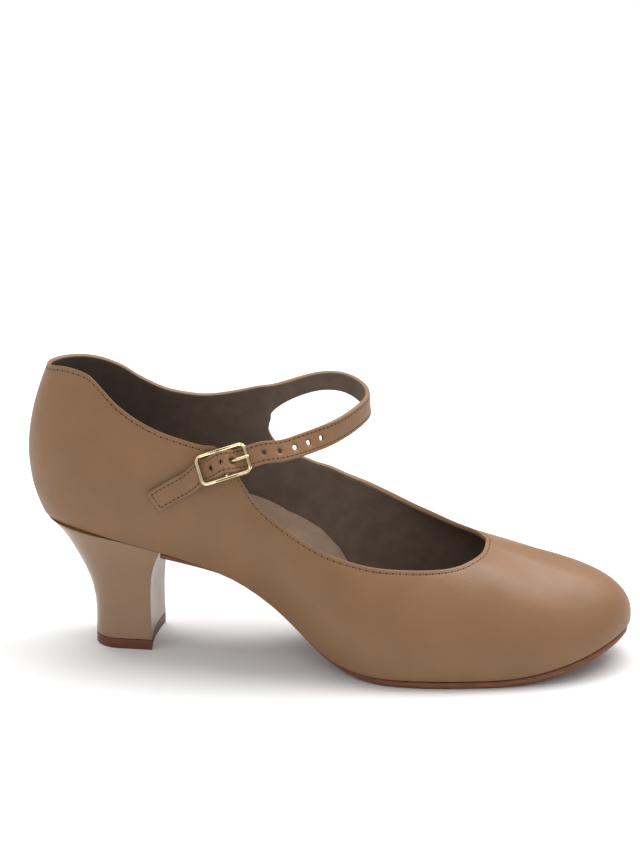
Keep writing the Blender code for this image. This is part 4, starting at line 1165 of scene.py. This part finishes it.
    def band_heights(self, rear: np.ndarray) -> np.ndarray:
        """Height shares of the rows above the root's lower edge, for each rear place."""
        low, high = self.crest(rear), self.last.topline(rear)
        high[-1] = low[-1]
        tall = np.linalg.norm(self.last.surface(rear, high) - self.last.surface(rear, low), axis=1)
        drops = np.array((0.0, self.edge_row, self.seam, self.low_row))
        top = 1.0 - np.minimum(drops / np.maximum(tall, 1e-6)[:, None], np.array((0.0, 0.1, 0.3, 0.45)))
        rest = top[:, 3:] * np.array((0.75, 0.5, 0.25, 0.1, 0.0))
        shares = np.concatenate((rest[:, ::-1], top[:, ::-1]), axis=1)
        return low[:, None] + (high - low)[:, None] * shares

    def build_band(self, rear: np.ndarray) -> bpy.types.Object:
        """The wall between the strap's root and the corner at the buckle, up to the topline."""
        last, heights = self.last, self.band_heights(rear)
        flat = np.repeat(rear, heights.shape[1]).reshape(heights.shape)
        outs = last.normals(flat.ravel(), heights.ravel()).reshape(heights.shape + (3,))
        points = self.creased(last.surface(rear, heights), outs, flat, heights)
        fade = self.fade(rear, rear[0], rear[-1])
        raised = np.zeros(heights.shape)
        raised[:, -2], raised[:, -3] = self.lip, -self.groove
        points += outs * (raised * fade[:, None])[..., None]
        return Bench.grid("upper_band", last.home(points))

    def strap_sheet(self) -> tuple[np.ndarray, list[Hole]]:
        """Rows of points across the strap from its root to its tail, and its holes.

        Returns:
            The points, and row, column, radius and stretch of each hole.
        """
        last, rear = self.last, np.array([ROOT_PLACE, ROOT_PLACE + 0.02])
        centre, width, full, prong = last.strap(self.hole_pitch / 6.0)
        edge = np.array((0.0, 0.0005, self.strap_seam, 0.0028)) / last.strap_width
        spread = np.concatenate((edge, (0.5,), 1.0 - edge[::-1])) - 0.5
        strap = centre[:, None] + width[:, None] * full[:, None, None] * spread[None, :, None]
        tangent = unit(np.gradient(centre, axis=0))
        out = unit(np.cross(width, tangent))
        out *= np.sign(np.sum(out[-1] * np.array((0.0, -1.0, 0.0))))
        strap[:, 2] -= out * self.groove * self.strap_groove
        strap[:, -3] -= out * self.groove * self.strap_groove
        root = last.surface(rear[:1], self.band_heights(rear)[:1])[0]
        front = self.places()[-2:]
        arrive = last.surface(front, last.topline(front))[0]
        leave = last.surface(rear[1:], last.topline(rear[1:]))[0]
        starts = {0: unit(root[0] - arrive), len(spread) - 1: unit(root[-1] - leave)}
        run = np.concatenate(([0.0], np.cumsum(np.linalg.norm(np.diff(centre, axis=0), axis=1))))
        end = int(np.searchsorted(run, self.root_blend))
        shares = run[:end] / run[end]
        edges = {}
        for column, way in starts.items():
            goal = strap[end, column]
            chord = np.linalg.norm(goal - root[column])
            away = unit(strap[end + 1, column] - strap[end - 1, column]) * chord
            t = shares[:, None]
            pull = self.root_pulls[0 if column == 0 else 1]
            edges[column] = ((2 * t ** 3 - 3 * t ** 2 + 1) * root[column]
                             + (t ** 3 - 2 * t ** 2 + t) * way * chord * pull
                             + (3 * t ** 2 - 2 * t ** 3) * goal + (t ** 3 - t ** 2) * away)
        level = (spread + 0.5)[:, None]
        straight_root = root[0] + (root[-1] - root[0]) * level
        straight_end = strap[end, 0] + (strap[end, -1] - strap[end, 0]) * level
        for row, t in enumerate(shares):
            low, high = edges[0][row], edges[len(spread) - 1][row]
            strap[row] = (low + (high - low) * level + (1.0 - t) ** 2 * (root - straight_root)
                          + t * t * (strap[end] - straight_end))
        middle = len(spread) // 2
        holes = [(prong + step, middle, self.prong_hole_radius, self.prong_hole_stretch) if step == PRONG_STEP
                 else (prong + step, middle, self.hole_radius, 1.0) for step in HOLE_STEPS]
        return strap, holes

    def share_length(self, places: np.ndarray, cut: np.ndarray) -> np.ndarray:
        """Metres for a whole share of the wall's height, measured just below the cut."""
        step = 0.02
        below = self.last.surface(places, cut - step)
        return np.linalg.norm(self.last.surface(places, cut) - below, axis=1) / step

    def seam_paths(self) -> list[tuple[np.ndarray, np.ndarray]]:
        """The lines of stitches: along the topline, and round the strap to its square tail."""
        places = self.places()
        cut = self.last.topline(places)
        under = cut - self.seam / self.share_length(places, cut)
        outs = self.last.normals(places, under)
        seams = [(self.last.surface(places, under) - outs * self.seam_sink, outs)]
        strap, _ = self.strap_sheet()
        out = unit(np.cross(np.gradient(strap[:, 4], axis=0), strap[:, 6] - strap[:, 2]))
        out *= np.sign(np.sum(out[-1] * np.array((0.0, -1.0, 0.0))))
        body = slice(2, len(strap) - 1)
        lift = out[body] * self.strap_seam_lift
        upper_edge, lower_edge = strap[body, 6] + lift, strap[body, 2] + lift
        end = np.linspace(upper_edge[-1], lower_edge[-1], 6)[1:-1]
        seams.append((np.concatenate((upper_edge, end, lower_edge[::-1])),
                      np.concatenate((out[body], np.repeat(out[-1:], 4, axis=0), out[body][::-1]))))
        return seams

    def build_stitches(self) -> None:
        """Every stitch as a short thread, with a near-black dot of painted shade for the needle hole at each
        end.
        """
        Bench.clear_selection()
        bpy.ops.mesh.primitive_uv_sphere_add(segments=8, ring_count=5, radius=1.0)
        bead = bpy.context.object
        bead.data.transform(Matrix.Diagonal((*self.stitch_size, 1.0)))
        Bench.clear_selection()
        # Near-black dot of painted shade for each needle hole
        bpy.ops.mesh.primitive_uv_sphere_add(segments=8, ring_count=4, radius=1.0)
        shade_dot = bpy.context.object
        shade_dot.data.transform(Matrix.Diagonal((*self.shade_dot_size, 1.0)))
        threads, holes = [], []
        for (line, outs), pitch in zip(self.seam_paths(), self.stitch_pitches):
            run = np.concatenate(([0.0], np.cumsum(np.linalg.norm(np.diff(line, axis=0), axis=1))))
            count = int(run[-1] / pitch)
            lengths = (np.arange(2 * count) + 0.5) * run[-1] / (2 * count)
            at = np.column_stack([np.interp(lengths, run, line[:, k]) for k in range(3)])
            out = unit(np.column_stack([np.interp(lengths, run, outs[:, k]) for k in range(3)]))
            along = unit(np.gradient(at, axis=0))
            side = unit(np.cross(out, along))
            along = np.cross(side, out)
            at = self.last.home(at)
            for k in range(2 * count):
                matrix = Matrix.Identity(4)
                for r in range(3):
                    for c, vectors in enumerate((along, side, out, at)):
                        matrix[r][c] = vectors[k, r]
                source, group = (bead, threads) if k % 2 else (shade_dot, holes)
                copy = bpy.data.objects.new(source.name, source.data.copy())
                copy.data.transform(matrix)
                bpy.context.scene.collection.objects.link(copy)
                group.append(copy)
        bpy.data.objects.remove(bead)
        bpy.data.objects.remove(shade_dot)
        groups = (("stitches", threads, Finish.THREAD), ("needle_hole_shades", holes, Finish.HOLE))
        for name, group, finish in groups:
            Bench.clear_selection()
            for copy in group:
                copy.select_set(True)
            bpy.context.view_layer.objects.active = group[0]
            bpy.ops.object.join()
            seam = group[0]
            seam.name = name
            seam.data.materials.clear()
            seam.data.materials.append(finish.material())
            seam.data.shade_smooth()
            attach(seam, "root")
            self.pieces.append(seam)

    def build_arch_lining(self) -> None:
        """The light lining that rises from the footbed up the inner side of the arch."""
        edge = np.array(SOCK_EDGE)
        columns, rows, foot = 60, 12, 0.06
        places = np.linspace(edge[0, 0], edge[-1, 0], columns)
        top = np.interp(places, edge[:, 0], edge[:, 1])
        heights = foot + (top - foot)[:, None] * np.linspace(0.0, 1.0, rows)
        flat_places = np.repeat(places, rows)
        points = self.last.surface(flat_places, heights.ravel())
        outs = self.last.normals(flat_places, heights.ravel())
        sheet = (points - outs * (self.last.wall + self.sock_gap)).reshape(columns, rows, 3)
        lining = Bench.grid("arch_lining", self.last.home(sheet))
        Bench.apply(lining, "SOLIDIFY", thickness=self.sock_wall, offset=0.0, use_even_offset=True)
        Bench.weld(lining, WELD_GAP)
        lining.data.materials.append(Finish.SOCK.material())
        Bench.soften(lining, LEATHER_ANGLE)
        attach(lining, "root")
        self.pieces.append(lining)

    def build(self) -> list[bpy.types.Object]:
        """Make every piece of the upper."""
        self.build_wall()
        self.build_stitches()
        self.build_arch_lining()
        return self.pieces


@dataclass
class Bottom:
    """Sole, insole, heel and top piece, dressed over the solids' own shapes."""

    nodes: dict[str, bpy.types.Object]
    pieces: list[bpy.types.Object] = field(default_factory=list)

    def dress(self, node: str, finish: Finish, bevel: float, degrees: float) -> bpy.types.Object:
        """A rounded copy of one solid in its finish.

        Args:
            node: The solid's name.
            finish: Its finish.
            bevel: Radius of its rounded edges, in metres.
            degrees: Angle past which an edge is rounded and stays sharp in the shading.

        Returns:
            The piece.
        """
        piece = Bench.copy_node(self.nodes[node], f"{node}_finished")
        if bevel:
            Bench.apply(piece, "BEVEL", width=bevel, segments=3, limit_method="ANGLE",
                        angle_limit=math.radians(degrees), use_clamp_overlap=True)
        piece.data.materials.append(finish.material())
        Bench.soften(piece, degrees)
        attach(piece, "root")
        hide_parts(node)
        self.pieces.append(piece)
        return piece

    def build(self) -> list[bpy.types.Object]:
        """Make the four pieces."""
        self.dress("outsole", Finish.SOLE, 0.0, 50.0)
        self.dress("insole", Finish.SOCK, 0.0, 50.0)
        self.dress("heel", Finish.HEEL, 0.00025, 42.0)
        self.dress("top_piece", Finish.TOP_PIECE, 0.0003, 42.0)
        return self.pieces


@dataclass
class Buckle:
    """The gilt buckle with its prong and the leather loop that holds it."""

    last: Last
    nodes: dict[str, bpy.types.Object]
    corner_steps: int = 9
    bar_steps: int = 9
    smallest_corner: float = 0.0004
    bar_flatness: float = 0.9
    bar_overlap: float = 0.3
    hook: tuple[float, float] = (-40.0, -262.0)
    hook_steps: int = 16
    chape_angle: float = 55.0
    corner: float = 0.0028
    bar: float = 0.0017
    centre_bar: float = 0.0014
    prong_gap: float = 0.00008
    prong_radius: float = 0.0006
    prong_taper: float = 0.18
    prong_steps: int = 70
    pieces: list[bpy.types.Object] = field(default_factory=list)

    def outline(self, inset: float) -> np.ndarray:
        """The frame's round-cornered outline moved inwards by the inset, in its own plane."""
        half = self.last.buckle_length / 2.0 - inset
        wide = self.last.strap_width / 2.0 + self.last.clearance + self.bar - inset
        radius = max(self.corner - inset, self.smallest_corner)
        points = []
        for quarter, (x, y) in enumerate(((1.0, 1.0), (-1.0, 1.0), (-1.0, -1.0), (1.0, -1.0))):
            for angle in np.radians(np.linspace(90.0 * quarter, 90.0 * quarter + 90.0, self.corner_steps)):
                points.append((x * (half - radius) + radius * math.cos(angle),
                               y * (wide - radius) + radius * math.sin(angle)))
        return np.array(points)

    @staticmethod
    def ellipse(half_width: float, half_height: float) -> np.ndarray:
        """Corners of a twelve-sided ellipse round the middle."""
        angles = np.linspace(0.0, 2.0 * math.pi, 13)[:-1]
        return np.column_stack((half_width * np.cos(angles), half_height * np.sin(angles)))

    def build_frame(self) -> bpy.types.Object:
        """The frame with two ridges and a groove between them, and its plain centre bar."""
        thick = self.last.buckle_thickness / 2.0
        rings = []
        for share, lift in RIM_PROFILE + RIM_PROFILE[:1]:
            ring = self.outline(self.bar * share)
            rings.append([self.last.at_buckle(x, y, thick * lift) for x, y in np.vstack((ring, ring[:1]))])
        frame = Bench.grid("buckle_rim", self.last.home(np.array(rings)))
        Bench.weld(frame, WELD_GAP)
        reach = self.last.strap_width / 2.0 + self.last.clearance + self.bar * self.bar_overlap
        shape = self.ellipse(self.centre_bar / 2.0, thick * self.bar_flatness)
        along, _, out = self.last.buckle_axes()
        stops = np.linspace(-reach, reach, self.bar_steps)
        centres = np.array([self.last.at_buckle(0.0, y, 0.0) for y in stops])
        sides, ups = np.tile(along, (self.bar_steps, 1)), np.tile(out, (self.bar_steps, 1))
        bar = Bench.sweep("buckle_bar", self.last.home(centres), sides, ups, shape, False)
        Bench.clear_selection()
        bar.select_set(True)
        frame.select_set(True)
        bpy.context.view_layer.objects.active = frame
        bpy.ops.object.join()
        frame.data.materials.append(Finish.GILT.material())
        Bench.soften(frame, METAL_ANGLE)
        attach(frame, "root")
        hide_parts("buckle_frame")
        self.pieces.append(frame)
        return frame

    def build_prong(self) -> None:
        """The prong, round the centre bar, up through the bow's hole and onto the front bar."""
        radius, half = self.prong_radius, self.last.buckle_length / 2.0
        ring = self.last.buckle_thickness / 2.0 + self.prong_gap + radius
        turns = np.radians(np.linspace(*self.hook, self.hook_steps))
        path = [(ring * math.cos(a), ring * math.sin(a)) for a in turns]
        path += [(share * half, lift) for share, lift in PRONG_PATH]
        path += [(share * half, ring - dip * radius) for share, dip in PRONG_TIP]
        runs = np.array(path)
        fine = natural_spline(np.arange(len(runs)), runs, np.linspace(0.0, len(runs) - 1.0, self.prong_steps))
        ways = unit(np.gradient(fine, axis=0))
        along, across, out = self.last.buckle_axes()
        centres = np.array([self.last.at_buckle(x, 0.0, z) for x, z in fine])
        ups = out * ways[:, :1] - along * ways[:, 1:]
        past = np.arange(self.prong_steps) - (self.prong_steps - 4.0)
        taper = np.where(past > 0.0, 1.0 - self.prong_taper * past / 3.0, 1.0)
        shape = taper[:, None, None] * self.ellipse(radius, radius)
        sides = np.tile(across, (self.prong_steps, 1))
        prong = Bench.sweep("buckle_prong_finished", self.last.home(centres), sides, ups, shape, False)
        prong.data.materials.append(Finish.GILT.material())
        Bench.soften(prong, METAL_ANGLE)
        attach(prong, "root")
        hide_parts("buckle_prong")
        self.pieces.append(prong)

    def build_rest(self) -> None:
        """The leather loop, smoothed over its solid's shape."""
        piece = Bench.copy_node(self.nodes["buckle_chape"], "buckle_chape_finished")
        piece.data.materials.append(Finish.UPPER.material())
        Bench.soften(piece, self.chape_angle)
        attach(piece, "root")
        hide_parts("buckle_chape")
        self.pieces.append(piece)

    def build(self) -> list[bpy.types.Object]:
        """Make the buckle's pieces."""
        self.build_frame()
        self.build_prong()
        self.build_rest()
        return self.pieces


@dataclass
class Studio:
    """The white floor, the soft lights and the camera at the photograph's angle."""

    azimuth: float = 7.92
    elevation: float = 18.47
    distance: float = 1.400
    lens: float = 151.25
    aim: tuple[float, float, float] = (0.07739, 0.0, 0.0914)
    lit_point: tuple[float, float, float] = (0.08, 0.0, 0.05)
    sensor: float = 36.0
    floor_size: float = 12.0
    floor_drop: float = 0.00005
    floor_grey: float = 0.76
    world_light: float = 0.66
    sun_light: float = 2.05
    sun_spread: float = 42.0
    sun_way: tuple[float, float, float] = (0.20, -0.30, -1.0)

    def build_camera(self) -> None:
        """The camera, which stands above the floor."""
        azimuth, elevation = math.radians(self.azimuth), math.radians(self.elevation)
        back = Vector((math.sin(azimuth) * math.cos(elevation), -math.cos(azimuth) * math.cos(elevation),
                       math.sin(elevation)))
        data = bpy.data.cameras.new("camera")
        data.lens, data.sensor_width = self.lens, self.sensor
        camera = bpy.data.objects.new("camera", data)
        bpy.context.scene.collection.objects.link(camera)
        camera.location = Vector(self.aim) + back * self.distance
        camera.rotation_euler = (-back).to_track_quat("-Z", "Y").to_euler()
        bpy.context.scene.camera = camera

    def build_floor(self) -> None:
        """A wide white floor."""
        Bench.clear_selection()
        bpy.ops.mesh.primitive_plane_add(size=self.floor_size, location=(0.0, 0.0, -self.floor_drop))
        floor = bpy.context.object
        floor.name = "floor"
        mixer = Mixer("white_floor")
        grey = (self.floor_grey, self.floor_grey, self.floor_grey, 1.0)
        floor.data.materials.append(mixer.shade(base_color=grey, roughness=0.9, specular_ior_level=0.1))

    def build_lights(self) -> None:
        """Even light from all round, a soft light overhead, and soft panels round the shoe."""
        world = bpy.data.worlds.new("studio")
        world.use_nodes = True
        world.node_tree.nodes["Background"].inputs["Color"].default_value = (1.0, 1.0, 1.0, 1.0)
        world.node_tree.nodes["Background"].inputs["Strength"].default_value = self.world_light
        bpy.context.scene.world = world
        data = bpy.data.lights.new("overhead", "SUN")
        data.energy, data.angle = self.sun_light, math.radians(self.sun_spread)
        overhead = bpy.data.objects.new("overhead", data)
        bpy.context.scene.collection.objects.link(overhead)
        overhead.rotation_euler = Vector(self.sun_way).to_track_quat("-Z", "Y").to_euler()
        for name, place, size, power in PANELS:
            data = bpy.data.lights.new(name, "AREA")
            data.shape, data.size, data.energy = "SQUARE", size, power
            panel = bpy.data.objects.new(name, data)
            bpy.context.scene.collection.objects.link(panel)
            panel.location = place
            way = Vector(self.lit_point) - Vector(place)
            panel.rotation_euler = way.to_track_quat("-Z", "Y").to_euler()

    def build(self) -> None:
        """Set up the studio."""
        bpy.context.scene.view_settings.view_transform = "Standard"
        self.build_floor()
        self.build_lights()
        self.build_camera()


def main() -> None:
    """Load the frame and build the shoe round it."""
    logging.basicConfig(level=logging.INFO, format="%(message)s")
    for obj in list(bpy.data.objects):
        bpy.data.objects.remove(obj, do_unlink=True)
    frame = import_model()
    Studio().build()
    last = Last()
    for part in (Upper(last), Bottom(frame["nodes"]), Buckle(last, frame["nodes"])):
        for piece in part.build():
            LOG.info("%s: %d faces", piece.name, len(piece.data.polygons))


if __name__ == "__main__":
    main()
